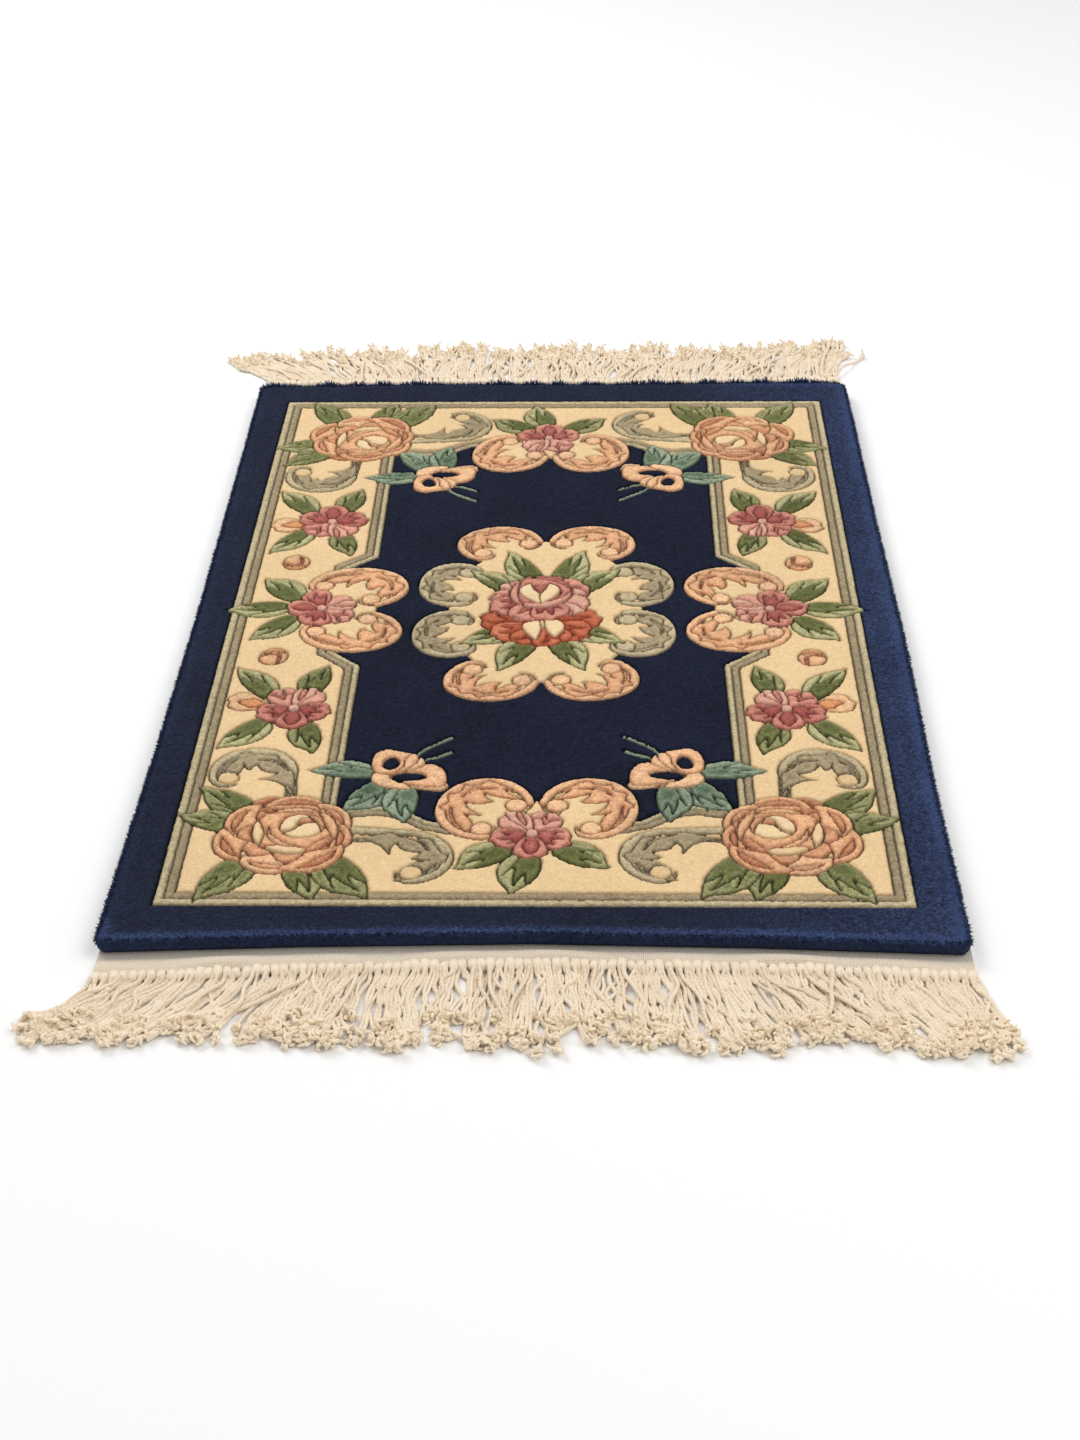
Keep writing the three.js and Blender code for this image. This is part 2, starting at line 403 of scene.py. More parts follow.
def scroll(row, mirror, yarn, leafy=False, ground=True):
    # mirror turns the table's quarter to the one that is drawn; a leafy scroll has one disc, at its start
    look = scrollLook
    centre = complex(row["x"], row["y"])
    narrow = min(row["wide"], row["high"])
    turning = 1 if row["end"] > row["start"] else -1
    back = (row["start"] + row["end"]) / 2

    def placed(local):
        unit = (local if turning < 0 else np.conj(local)) * polar(1, back)
        return mirror(centre + row["wide"] * unit.real + 1j * row["high"] * unit.imag)

    if ground:
        patch = ellipse(centre, row["wide"] * look["ground"], row["high"] * look["ground"])
        island(mirror(patch), "cream", 0.5, flow="cream")
    middle = 1 - look["band"] / narrow
    share = np.linspace(0, 1, 50)
    angle = np.radians(row["start"] + (row["end"] - row["start"]) * share)
    path = centre + middle * (row["wide"] * np.cos(angle) + 1j * row["high"] * np.sin(angle))
    widths = look["band"] * (0.8 + 0.25 * np.sin(np.pi * share))
    if leafy:
        leaving = (path[-1] - path[-2]) / abs(path[-1] - path[-2])
        path = np.concatenate([path, (path[-1] + leaving * np.linspace(0, row["tail"], 12))[1:]])
        widths = np.append(widths, np.linspace(widths[-1], 5, 11))
    feather = placed(arcs(look["leafyFeather" if leafy else "feather"]))
    shade = look["shades"][yarn]
    flow = f"scroll{len(islands)}"
    island(feather, yarn, shade, rise=0.3, flow=flow)
    lining = centre + (path - centre) * (1 - look["lining"]["inset"] / narrow)
    strip = ribbon(lining[6:44], look["lining"]["half"] * np.sin(np.linspace(0.25, 2.9, 38)))
    island(mirror(strip), yarn, shade, rise=0.3, flow=flow)
    hook = look["hook"]
    hubs = []
    for first in (True,) if leafy else (True, False):
        tip, inner = (path[0], path[1]) if first else (path[-1], path[-2])
        leaving = (tip - inner) / abs(tip - inner)
        sense = -turning if first else turning
        hub = tip + leaving * 1j * sense * hook["radius"]
        curl = hub + (tip - hub) * polar(1, np.linspace(0, hook["turn"], 14)[1:] * sense)
        taper = np.linspace(widths[0], 0.6, 13)
        path = np.concatenate([curl[::-1], path]) if first else np.concatenate([path, curl])
        widths = np.concatenate([taper[::-1], widths]) if first else np.concatenate([widths, taper])
        hubs.append(hub)
    island(mirror(ribbon(path, widths)), yarn, look["light"], rise=0.6)
    teeth = island(feather, yarn, shade, rise=0.3, flow=flow)
    for corners in look["leafySlits" if leafy else "slits"]:
        line = smooth(pairs(corners), closed=False)
        slit = ribbon(line, (0.2 + np.sin(np.linspace(0, np.pi, len(line)))) / row["wide"])
        island(placed(slit), yarn, look["light"], inside=teeth, rise=0.2)
    for hub in hubs:
        disc = mirror(ellipse(hub, look["volute"], look["volute"], 0, 20))
        island(disc, row["volutes"], 0.3 if row["volutes"] == "cream" else 1.0, rise=0.1)


# Buds in a unit square, and the petal that stands beside the small flowers, in the frame of the petal
budLook = {
    "fold": [(-0.5, 0.02), (-0.1, 0.16), (0.2, 0.04), (0.16, -0.5)],
    "foldWidth": 0.05,
    "cap": [(-0.34, 0.2), (0.0, 0.32), (0.36, 0.16), (0.3, 0.36), (0, 0.5), (-0.3, 0.4)],
    "petalWidth": 27,
    "petalHeart": [(0.1, 0.1), (0.1, 0.1), (0.5, 0.4), (0.25, 0.6), (0, 0.78), (0, 0.78), (-0.35, 0.6),
                   (-0.5, 0.35)],
}


def bud(place):
    whole = island(place(ellipse(0j, 0.5, 0.5, 0, 24)), "peach", 0.7, rise=0.3)
    fold = ribbon(smooth(pairs(budLook["fold"]), closed=False), budLook["foldWidth"])
    island(place(fold), "peach", 0.2, inside=whole, rise=0.2)
    island(place(smooth(pairs(budLook["cap"]))), "orange", 0.7, inside=whole, rise=0.3)


def budPetal(base, tip):
    at = strip(base, tip, budLook["petalWidth"])
    whole = island(at(smooth(pairs(petalLook["outline"]))), "peach", 0.95, rise=0.3)
    island(at(smooth(pairs(budLook["petalHeart"]))), "orange", 0.5, inside=whole, rise=0.3)


# Butterflies, drawn for the near left quarter around their middle
butterflyLook = {
    "feelers": [[(4, 18), (12, 29), (33, 45)], [(8, 12), (20, 16), (33, 24)]],
    "wings": [
        {"outline": [(-30, 6), (-28, 20), (-19, 27), (-8, 24), (2, 20), (4, 8), (-6, -4), (-16, -9),
                     (-26, -6)],
         "hole": {"x": -14.5, "y": 6.5, "wide": 6.2, "high": 9.4, "tilt": -8}},
        {"outline": [(-14, -12), (-4, -2), (8, 5), (20, 5), (28, -4), (30, -16), (26, -26), (10, -25),
                     (-4, -20)],
         "hole": {"x": 0.5, "y": -12, "wide": 13.5, "high": 5.8, "tilt": 3}},
    ],
    "rims": [[(-27, -8), (-28, -18), (-18, -27), (1, -30), (2, -23), (-8, -19), (-12, -12), (-18, -7)],
             [(1, -24), (12, -24), (24, -22), (29, -17), (32, -24), (26, -31), (12, -29)]],
    "body": [[(-12, -9), (-12, -9), (-4, -2), (2, 8), (3, 18), (10, 14), (12, 6), (4, -2)],
             [(-12, -8), (-12, -8), (-5, 2), (-4, 12), (1, 20), (6, 17), (5, 8), (-2, -2)]],
}


def butterfly(place):
    # two open wings, a folded body and feelers
    look = butterflyLook
    for line in look["feelers"]:
        path = place(smooth(pairs(line), closed=False))
        island(ribbon(path, np.linspace(1.5, 1.9, len(path))), "teal", 0.75, rise=0.2)
    for line in look["rims"]:
        island(place(smooth(pairs(line))), "peach", 1.15, rise=0.5)
    for wing in look["wings"]:
        whole = island(place(smooth(pairs(wing["outline"]))), "peach", 0.75, rise=0.7)
        hole = wing["hole"]
        line = ellipse(complex(hole["x"], hole["y"]), hole["wide"], hole["high"], hole["tilt"], 24)
        island(place(line), "field", 0.3, inside=whole)
    for line in look["body"]:
        island(place(smooth(pairs(line))), "peach", 1.0, rise=0.9)


# The layout, in millimetres from the middle of the pile, for the near left quarter; the rest is mirrored

# Rows of leaves hold the tip's x and y, the width and the side that the leaf bows to, and where the
# list says no more, its feet lie between the tips and the flower's middle.
layout = {
    "guard": {"halfWidth": 272.3, "far": 427, "near": 427, "pale": 7.0, "dark": 7.4},
    "fieldLine": {"pale": 5.8, "dark": 6.6},
    "fieldCorner": [(178, 0), (178, 72), (152, 95), (152, 302), (144, 306), (134, 305), (121, 302.5),
                    (107, 305), (93, 312), (80, 322), (64, 327), (0, 327)],
    "rose": {"x": -186, "y": -339},
    "roseLeaves": [(-255, -273, 29, 1), (-273, -322, 27, -1), (-250, -420, 31, 1), (-164, -424, 31, 1),
                   (-113, -417, 33, -1)],
    "flower": {"x": -199, "y": -163},
    # the last column is how light a leaf's pale part is
    "flowerLeaves": [(-258, -104, 25, -1, 1.05), (-172, -98, 25, 1, 0.5), (-259, -220, 27, 1, 1.05),
                     (-172, -228, 26, -1, 0.55)],
    "budPetal": {"x": -254, "y": -151},
    "bud": {"x": -226, "y": -82, "wide": 24, "high": 27},
    "sideFlower": {"x": -194, "y": 0},
    "sideLeaves": [(-254, 48, 30, 1), (-278, 3, 27, -1), (-255, -50, 29, -1)],
    "endFlower": {"x": -3, "y": -341},
    "endLeaves": [(-57, -389, 29, 1), (-12, -418, 31, 1), (51, -389, 29, -1)],
    "sideScroll": {"x": -166, "y": -37, "wide": 46, "high": 37, "start": 190, "end": 424,
                   "volutes": "peach"},
    "endScroll": {"x": -38.5, "y": -307, "wide": 38.5, "high": 42, "start": 262, "end": 10,
                  "volutes": "peach"},
    "roseScrollSide": {"x": -220, "y": -258, "wide": 35, "high": 35, "start": 200, "end": 0, "tail": 44,
                       "volutes": "cream"},
    "roseScrollEnd": {"x": -98, "y": -370, "wide": 37, "high": 36, "start": -70, "end": 88, "tail": 52,
                      "volutes": "cream"},
    "butterfly": {"x": -100, "y": -250},
    # the last two columns are the foot's x and y
    "butterflyLeaves": [(-178, -256, 24, -1, -122, -257), (-150, -309, 29, 1, -113, -268),
                        (-98, -325, 28, -1, -101, -272)],
    "medallionEnd": {"x": -41, "y": -117, "wide": 41, "high": 35, "start": 130, "end": 352,
                     "volutes": "peach"},
    "medallionSide": {"x": -79, "y": -43, "wide": 34, "high": 41, "start": -60, "end": -294,
                      "volutes": "sage"},
    # tip's x and y, foot's y, and side
    "medallionLeaves": [(-29, 107, 40, 1), (31, 107, 40, -1), (-72, 66, 20, -1), (70, 66, 20, 1),
                        (-74, -57, -25, 1), (72, -57, -25, -1), (-33, -107, -45, -1), (31, -107, -45, 1)],
}


def mirrorTo(sx, sy):
    # from the near left quarter to the one on the sx side and the sy end
    def place(z):
        z = -np.conj(z) if sx > 0 else z
        return np.conj(z) if sy > 0 else z

    return place


def spotOf(row):
    return complex(row["x"], row["y"])


def fieldOutline():
    quarter = pairs(layout["fieldCorner"])
    half = np.concatenate([quarter, -np.conj(quarter)[::-1][1:]])
    return np.concatenate([half, np.conj(half)[::-1][1:-1]])


def creamEllipse(centre, wide, high):
    island(ellipse(centre, wide, high), "cream", 0.5, flow="cream")


def ground():
    guard = layout["guard"]

    def rectangle(inset):
        x, far, near = guard["halfWidth"] - inset, guard["far"] - inset, guard["near"] - inset
        return pairs([(-x, -near), (x, -near), (x, far), (-x, far)])

    island(rectangle(0), "sage", 1.0, rise=0.2)
    island(rectangle(guard["pale"]), "sage", 0.3)
    island(rectangle(guard["pale"] + guard["dark"]), "cream", 0.5, flow="cream")
    line = layout["fieldLine"]
    field = fieldOutline()
    island(movedOut(field, line["pale"] + line["dark"]), "sage", 0.3)
    island(movedOut(field, line["pale"]), "sage", 1.0)
    island(field, "field", 0.5)


def leavesRound(centre, rows, place, share, sign, light, dark):
    # leaves round a flower, each with its foot that share of the way from its middle to the tip
    for tipX, tipY, width, side, *own in rows:
        tip = complex(tipX, tipY)
        leaf(place(centre + (tip - centre) * share), place(tip), "green", side * sign, width,
             tones=(own[0] if own else light, dark))


def quarterMotifs(sx, sy):
    place = mirrorTo(sx, sy)
    flip = -sx * sy   # 1 in the two quarters that aren't mirror images of the near left one
    scroll(layout["roseScrollSide"], place, "sage", leafy=True, ground=False)
    scroll(layout["roseScrollEnd"], place, "sage", leafy=True, ground=False)
    for tipX, tipY, width, side, baseX, baseY in layout["butterflyLeaves"]:
        base, tip = place(complex(baseX, baseY)), place(complex(tipX, tipY))
        leaf(base, tip, "teal", side * -flip, width, tones=(0.7, 0.35), hook=0.04)
    middle = place(spotOf(layout["butterfly"]))
    butterfly(lambda z: middle + place(z))
    centre = spotOf(layout["rose"])
    leavesRound(centre, layout["roseLeaves"], place, 0.35, -flip, 0.6, 0.32)
    rose(place(centre), "peach", place)
    centre = spotOf(layout["flower"])
    leavesRound(centre, layout["flowerLeaves"], place, 0.28, -flip, 1.0, 0.2)
    tip = spotOf(layout["budPetal"])
    budPetal(place(centre + (tip - centre) * 0.35), place(tip))
    smallFlower(place(centre), 90 * sy, flip, 0.3)
    row = layout["bud"]
    bud(lambda z: place(spotOf(row) + z.real * row["wide"] + 1j * z.imag * row["high"]))


def sideMotifs(sx):
    creamEllipse(complex(176 * sx, 0), 30, 34)
    for sy in (-1, 1):
        scroll(layout["sideScroll"], mirrorTo(sx, sy), "peach")
    place = mirrorTo(sx, -1)
    centre = spotOf(layout["sideFlower"])
    leavesRound(centre, layout["sideLeaves"], place, 0.3, sx, 0.85, 0.2)
    smallFlower(place(centre), 180 if sx < 0 else 0, -sx, 0.2)


def endMotifs(sy):
    creamEllipse(complex(0, 322 * sy), 34, 26)
    for sx in (-1, 1):
        scroll(layout["endScroll"], mirrorTo(sx, sy), "peach")
    place = mirrorTo(-1, sy)
    centre = spotOf(layout["endFlower"])
    leavesRound(centre, layout["endLeaves"], place, 0.3, sy, 0.7, 0.2)
    smallFlower(place(centre), 90 * sy, -sy, 0.1)


# The medallion's two flowers, and the slivers and cream blades in their middles: turns in degrees, the
# rest in millimetres
medallionLook = {
    "coral": {"x": -2, "y": -27, "petals": [
        {"turn": 168, "reach": 54, "width": 38, "tone": 0.45, "fold": "wedge"},
        {"turn": 12, "reach": 51, "width": 38, "tone": 0.5, "fold": "rim"},
        {"turn": 205, "reach": 46, "width": 32, "tone": 0.75, "fold": "rim"},
        {"turn": 335, "reach": 46, "width": 34, "tone": 0.5, "fold": "wedge"},
        {"turn": 250, "reach": 38, "width": 36, "tone": 0.5, "fold": "crease"},
        {"turn": 292, "reach": 38, "width": 36, "tone": 0.55, "fold": "crease"}]},
    "pink": {"x": -5, "y": 22, "petals": [
        {"turn": 112, "reach": 36, "width": 38, "tone": 0.3, "fold": "wedge"},
        {"turn": 68, "reach": 36, "width": 38, "tone": 0.35, "fold": "crease"},
        {"turn": 156, "reach": 40, "width": 32, "tone": 0.85, "fold": "half"},
        {"turn": 22, "reach": 44, "width": 36, "tone": 0.6, "fold": "rim"},
        {"turn": 188, "reach": 44, "width": 30, "tone": 0.75, "fold": "wedge"},
        {"turn": 352, "reach": 42, "width": 30, "tone": 0.9, "fold": "crease"},
        {"turn": 214, "reach": 48, "width": 34, "tone": 0.5, "fold": "rim"},
        {"turn": 326, "reach": 48, "width": 36, "tone": 0.85, "fold": "half"},
        {"turn": 252, "reach": 46, "width": 34, "tone": 0.6, "fold": "wedge"},
        {"turn": 288, "reach": 44, "width": 34, "tone": 0.5, "fold": "rim"}]},
    "wedges": [{"tone": 0.7, "corners": [(-2, 6), (-2, 6), (-16, 0), (-14, -12), (-4, -28), (-4, -28),
                                         (0, -10)]},
               {"tone": 0.62, "corners": [(2, 10), (2, 10), (16, 4), (20, -8), (12, -24), (12, -24),
                                          (4, -10)]}],
    "cup": {"x": 0, "y": 5, "wide": 28, "high": 27},
    "slivers": [{"turn": 290, "radius": 27, "span": 150, "thick": 9, "tone": 0.85},
                {"turn": 185, "radius": 27, "span": 110, "thick": 7, "tone": 0.75},
                {"turn": 60, "radius": 27, "span": 110, "thick": 5, "tone": 0.4},
                {"turn": 305, "radius": 18, "span": 130, "thick": 4, "tone": 0.35}],
    "blades": [[(0, -20), (0, -20), (-15, -6), (-19, 8), (-9, 17), (-9, 17), (-5, 4), (2, -6)],
               [(1, -20), (1, -20), (12, -8), (17, 6), (8, 16), (8, 16), (2, 8), (-1, -4)]],
    "notch": [(0, -2), (0, -2), (-7, 12), (0, 10), (6, 13)],
}


def openFlower(name):
    flower = medallionLook[name]
    centre = spotOf(flower)
    for row in flower["petals"]:
        petal(centre + polar(5, row["turn"]), centre + polar(row["reach"], row["turn"]), row["width"], name,
              row["tone"], row["fold"])
    return centre


def medallion():
    look = medallionLook
    creamEllipse(0j, 84, 122)
    for sx in (-1, 1):
        for sy in (-1, 1):
            scroll(layout["medallionSide"], mirrorTo(sx, sy), "sage")
            scroll(layout["medallionEnd"], mirrorTo(sx, sy), "peach")
    creamEllipse(0j, 60, 84)
    for tipX, tipY, baseY, side in layout["medallionLeaves"]:
        leaf(complex(tipX * 0.22, baseY), complex(tipX, tipY), "green", side, 28, tones=(1.0, 0.2), hook=0.08)
    coral = openFlower("coral")
    for wedge in look["wedges"]:
        island(coral + smooth(pairs(wedge["corners"])), "cream", wedge["tone"], rise=0.7)
    middle = openFlower("pink") + spotOf(look["cup"])
    whole = island(ellipse(middle, look["cup"]["wide"], look["cup"]["high"]), "pink", 0.5, rise=1.0)
    for row in look["slivers"]:
        line = crescent(row["radius"], row["turn"], row["span"], row["thick"])
        island(middle + line, "pink", row["tone"], inside=whole, rise=1.1)
    for corners in look["blades"]:
        island(middle + smooth(pairs(corners)), "cream", 0.72, rise=0.8)
    island(middle + smooth(pairs(look["notch"])), "pink", 0.25, rise=1.0)


def drawRug():
    ground()
    for side in (-1, 1):
        sideMotifs(side)
    for end in (-1, 1):
        endMotifs(end)
    for sx in (-1, 1):
        for sy in (-1, 1):
            quarterMotifs(sx, sy)
    medallion()


drawRug()
print("drawn", len(islands), "islands")


# Pile: the drawing is cut into triangles, and every line between two islands is carved

pileLook = {
    # spacing of the surface's points, finer near the drawn lines
    "grid": {"fine": 1.8, "plain": 2.6, "fineWithin": 6.5},
    "outlineStep": 1.6,
    "raggedness": 0.14,   # how far a line strays from its drawing
    "rimRaggedness": 0.35,
    "top": 14.3,
    "carving": {"depth": 3.0, "reach": 2.1},
    "edge": {"height": 12.6, "reach": 3.6},
    "outermost": 2.6,     # what lies this near the edge stands on its wall
    "shoulderRows": [0.4, 1.1, 2.2],
    "side": [{"inset": 0.8, "height": 6.0}, {"inset": 3.0, "height": 2.9}],
    # the sides of the pile: how little painted groove shade they get, and a tone lighter than the top's,
    # painted light for the little light they catch
    "wall": {"carved": 0.9, "tone": 0.75},
    "tuft": 0.16,         # unevenness of the sheared surface
    # how the near end bows inwards: by how much, from where to where, and over half its width
    "bow": {"depth": 5.0, "start": 150, "length": 280, "half": 272},
}


def pileEdge():
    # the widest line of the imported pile, as an outline in millimetres
    corners = np.array([v.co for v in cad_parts["pile"].data.vertices]) / mm
    corners = np.unique(corners.round(2), axis=0)
    widest = max(np.unique(corners[:, 2]), key=lambda z: np.ptp(corners[corners[:, 2] == z, 0]))
    ring = corners[corners[:, 2] == widest]
    outline = ring[:, 0] + 1j * ring[:, 1]
    return outline[np.argsort(np.angle(outline))]


def swayed(points):
    # the hand-made lines aren't quite straight, and the near end bows inwards
    x, y = points.real, points.imag
    rule = pileLook["bow"]
    near = np.clip((-y - rule["start"]) / rule["length"], 0, 1) ** 2
    bow = rule["depth"] * near * (1 - (x / rule["half"]) ** 2)
    swayX = 0.9 * np.sin(y / 61 + 1.3) + 0.6 * np.sin(y / 23 + x / 90)
    swayY = 0.9 * np.sin(x / 53 + 0.4) + 0.6 * np.sin(x / 19 + y / 80)
    return points + swayX + 1j * (bow + swayY)


def lattice(pitch):
    # an uneven triangular grid that covers the rug
    rows = np.arange(-480, 480, pitch * 0.866)
    columns = np.arange(-312, 312, pitch)
    x = columns[None, :] + (np.arange(len(rows)) % 2)[:, None] * pitch / 2
    spots = (x + 1j * np.repeat(rows[:, None], len(columns), 1)).ravel()
    stray = noise.uniform(-0.15, 0.15, (2, len(spots))) * pitch
    return spots + stray[0] + 1j * stray[1]


def treeOf(spots):
    tree = KDTree(len(spots))
    for i, z in enumerate(spots):
        tree.insert((z.real, z.imag, 0), i)
    tree.balance()
    return tree


def distances(spots, targets):
    tree = treeOf(targets)
    return np.array([tree.find((z.real, z.imag, 0))[2] for z in spots])


def strayOf(count):
    return noise.normal(size=count) + 1j * noise.normal(size=count)


def meshedPile(edge):
    # every outline is kept as edges of the triangles, and the rest is filled with an uneven grid
    step = pileLook["outlineStep"]
    rim = evenly(edge, step)
    rim = rim + pileLook["rimRaggedness"] * strayOf(len(rim))
    lines = [rim]
    for row in islands:
        line = evenly(swayed(row["outline"]), step)
        lines.append(line + pileLook["raggedness"] * strayOf(len(line)))
    points, sides, count = list(lines), [], 0
    for line in lines:
        number = np.arange(len(line))
        sides.append(np.column_stack([number, np.roll(number, -1)]) + count)
        count += len(line)
    for inset in pileLook["shoulderRows"]:
        points.append(evenly(movedOut(edge, -inset), step))
    drawn = np.concatenate(points)
    grid = pileLook["grid"]
    for pitch, nearest, farthest in ((grid["fine"], 0.5 * grid["fine"], grid["fineWithin"]),
                                     (grid["plain"], grid["fineWithin"], 1e9)):
        spots = lattice(pitch)
        away = distances(spots, drawn)
        points.append(spots[(away > nearest) & (away <= farthest)])
    corners = [Vector((z.real, z.imag)) for z in np.concatenate(points)]
    out = delaunay_2d_cdt(corners, np.concatenate(sides).tolist(), [], 0, 1e-3, False)
    flat = np.array([complex(v.x, v.y) for v in out[0]])
    return flat, np.array(out[2]), lines


def windingOf(spots, starts, ends):
    # how often the sides of an outline go round each spot; the spots are in order of y
    x, y = spots.real, spots.imag
    winding = np.zeros(len(y), int)
    low = np.searchsorted(y, np.minimum(starts.imag, ends.imag))
    high = np.searchsorted(y, np.maximum(starts.imag, ends.imag))
    for a, b, i, j in zip(starts, ends, low, high):
        if j > i:
            crossing = a.real + (y[i:j] - a.imag) * (b.real - a.real) / (b.imag - a.imag)
            winding[i:j] += (x[i:j] < crossing) * (1 if b.imag > a.imag else -1)
    return winding


def islandOf(centres, lines):
    # which island each triangle belongs to: the last one over it whose own island covers it too
    order = np.argsort(centres.imag)
    spots = centres[order]
    owner = np.full(len(order), -2)
    covered = {}
    for number, line in enumerate(lines, -1):
        first, last = np.searchsorted(spots.imag, [line.imag.min(), line.imag.max()])
        over = np.zeros(len(order), bool)
        over[first:last] = windingOf(spots[first:last], line, np.roll(line, -1)) != 0
        inside = islands[number]["inside"] if number >= 0 else None
        if inside is not None:
            over &= covered[inside]
        covered[number] = over
        covered.pop(number - 40, None)
        owner[over] = number
    result = np.empty(len(order), int)
    result[order] = owner
    return result


def carvedHeights(flat, triangles, label, rises, edge):
    a, b = triangles.ravel(), np.roll(triangles, -1, 1).ravel()
    who = np.repeat(label, 3)
    order = np.lexsort((np.maximum(a, b), np.minimum(a, b)))
    low, high, who = np.minimum(a, b)[order], np.maximum(a, b)[order], who[order]
    cut = (low[1:] == low[:-1]) & (high[1:] == high[:-1]) & (who[1:] != who[:-1])
    start, end = flat[low[1:][cut]], flat[high[1:][cut]]
    away = distances(flat, np.concatenate([start, start * 0.67 + end * 0.33, start * 0.33 + end * 0.67, end]))
    rimAway = distances(flat, evenly(edge, 0.8))
    carve = pileLook["carving"]
    shoulder = np.sqrt(1 - (1 - np.clip(away / carve["reach"], 0, 1)) ** 2)
    rise, share = np.zeros(len(flat)), np.zeros(len(flat))
    np.add.at(rise, a, np.repeat(rises, 3))
    np.add.at(share, a, 1)
    rise = rise / np.maximum(share, 1) * shoulder
    drop = pileLook["top"] - pileLook["edge"]["height"]
    rounding = 1 - np.sqrt(1 - (1 - np.clip(rimAway / pileLook["edge"]["reach"], 0, 1)) ** 2)
    tufts = noise.normal(0, pileLook["tuft"], len(flat))
    height = pileLook["top"] - carve["depth"] * (1 - shoulder) + rise - drop * rounding + tufts
    return height, shoulder, rimAway, away


edge = pileEdge()
flat, triangles, lines = meshedPile(edge)
print("cut into", len(triangles), "triangles")
owner = islandOf(flat[triangles].mean(1), lines)
triangles, owner = triangles[owner > -2], owner[owner > -2]
flows = sorted({row["flow"] for row in islands if row["flow"]})
labels = [-5 - flows.index(row["flow"]) if row["flow"] else k for k, row in enumerate(islands)]
label = np.array([labels[k] if k >= 0 else -1 for k in owner])
rises = np.array([islands[k]["rise"] if k >= 0 else 0 for k in owner])
height, depthMask, rimAway, lineAway = carvedHeights(flat, triangles, label, rises, edge)
print("carved", round(height.min(), 2), round(height.max(), 2))
insetLines = [evenly(movedOut(edge, -row["inset"]), 0.4) for row in pileLook["side"]]
insetTrees = [treeOf(line) for line in insetLines]


def setValues(mesh, name, domain, values):
    mesh.attributes.new(name, "FLOAT", domain).data.foreach_set("value", np.asarray(values, dtype=np.float32))


def linked(name, mesh):
    thing = bpy.data.objects.new(name, mesh)
    bpy.context.scene.collection.objects.link(thing)
    return thing


def inlay(name, chosen, tones):
    # one yarn's part of the pile as a closed solid: its surface, a wall along its edge, and its foot
    used, faces = np.unique(triangles[chosen], return_inverse=True)
    faces = faces.reshape(-1, 3)
    count = len(used)
    a, b = faces.ravel(), np.roll(faces, -1, 1).ravel()
    lone = ~np.isin(a * count + b, b * count + a)
    a, b = a[lone], b[lone]
    rim, places = np.unique(np.concatenate([a, b]), return_inverse=True)
    a2, b2 = places[:len(a)], places[len(a):]
    spots = flat[used]
    outer = rimAway[used[rim]] < pileLook["outermost"]
    rings = []
    for row, tree, line in zip(pileLook["side"], insetTrees, insetLines):
        ring = spots[rim].copy()
        for i in np.flatnonzero(outer):
            ring[i] = line[tree.find((ring[i].real, ring[i].imag, 0))[1]]
        rings.append(np.column_stack([ring.real, ring.imag, np.full(len(ring), row["height"])]))
    top = np.column_stack([spots.real, spots.imag, height[used]])
    edgeOn = outer[a2] & outer[b2]
    walls = []
    middle, bottom = count, count + len(rim)
    for above, below, part in ((None, bottom, ~edgeOn), (None, middle, edgeOn), (middle, bottom, edgeOn)):
        upperA, upperB = (a, b) if above is None else (a2 + above, b2 + above)
        walls.append(np.column_stack([upperB, upperA, a2 + below, b2 + below])[part])
    walls = np.concatenate(walls)
    out = delaunay_2d_cdt([Vector((z.real, z.imag)) for z in spots[rim]], np.column_stack([a2, b2]).tolist(),
                          [], 0, 1e-4, False)
    sole = np.array(out[2])
    centres = spots[rim][sole].mean(1)
    order = np.argsort(centres.imag)
    sole, centres = sole[order], centres[order]
    sole = sole[windingOf(centres, spots[rim][a2], spots[rim][b2]) != 0]
    corner = spots[rim][sole]
    turned = ((corner[:, 1] - corner[:, 0]) * np.conj(corner[:, 2] - corner[:, 0])).imag < 0
    sole[turned] = sole[turned][:, ::-1]
    mesh = bpy.data.meshes.new(name)
    corners = np.concatenate([top, rings[0], rings[1]]) * mm
    mesh.from_pydata(corners.tolist(), [], faces.tolist() + walls.tolist() + (sole + bottom).tolist())
    mesh.polygons.foreach_set("use_smooth", [True] * len(mesh.polygons))
    # the walls and the foot get the lighter painted tone; the walls get little painted groove shade and the
    # foot the full painted groove shade
    wall = pileLook["wall"]
    depth = np.concatenate([depthMask[used], np.full(len(rim), wall["carved"]), np.zeros(len(rim))])
    setValues(mesh, "carved", "POINT", depth)
    setValues(mesh, "tone", "FACE", np.concatenate([tones, np.full(len(walls) + len(sole), wall["tone"])]))
    ends = np.empty(2 * len(mesh.edges), int)
    mesh.edges.foreach_get("vertices", ends)
    ends = np.sort(ends.reshape(-1, 2), 1)
    total = len(corners)
    sharp = np.minimum(a, b) * total + np.maximum(a, b)
    sharp = np.concatenate([sharp, np.minimum(a2, b2) * total + np.maximum(a2, b2) + bottom * (total + 1)])
    mesh.attributes.new("sharp_edge", "BOOLEAN", "EDGE").data.foreach_set(
        "value", np.isin(ends[:, 0] * total + ends[:, 1], sharp))
    mesh.update()
    thing = linked(name, mesh)
    # the ring between top and bottom is only used under the outer edge
    tidy = bmesh.new()
    tidy.from_mesh(mesh)
    bmesh.ops.delete(tidy, geom=[v for v in tidy.verts if not v.link_faces], context="VERTS")
    tidy.to_mesh(mesh)
    tidy.free()
    return thing


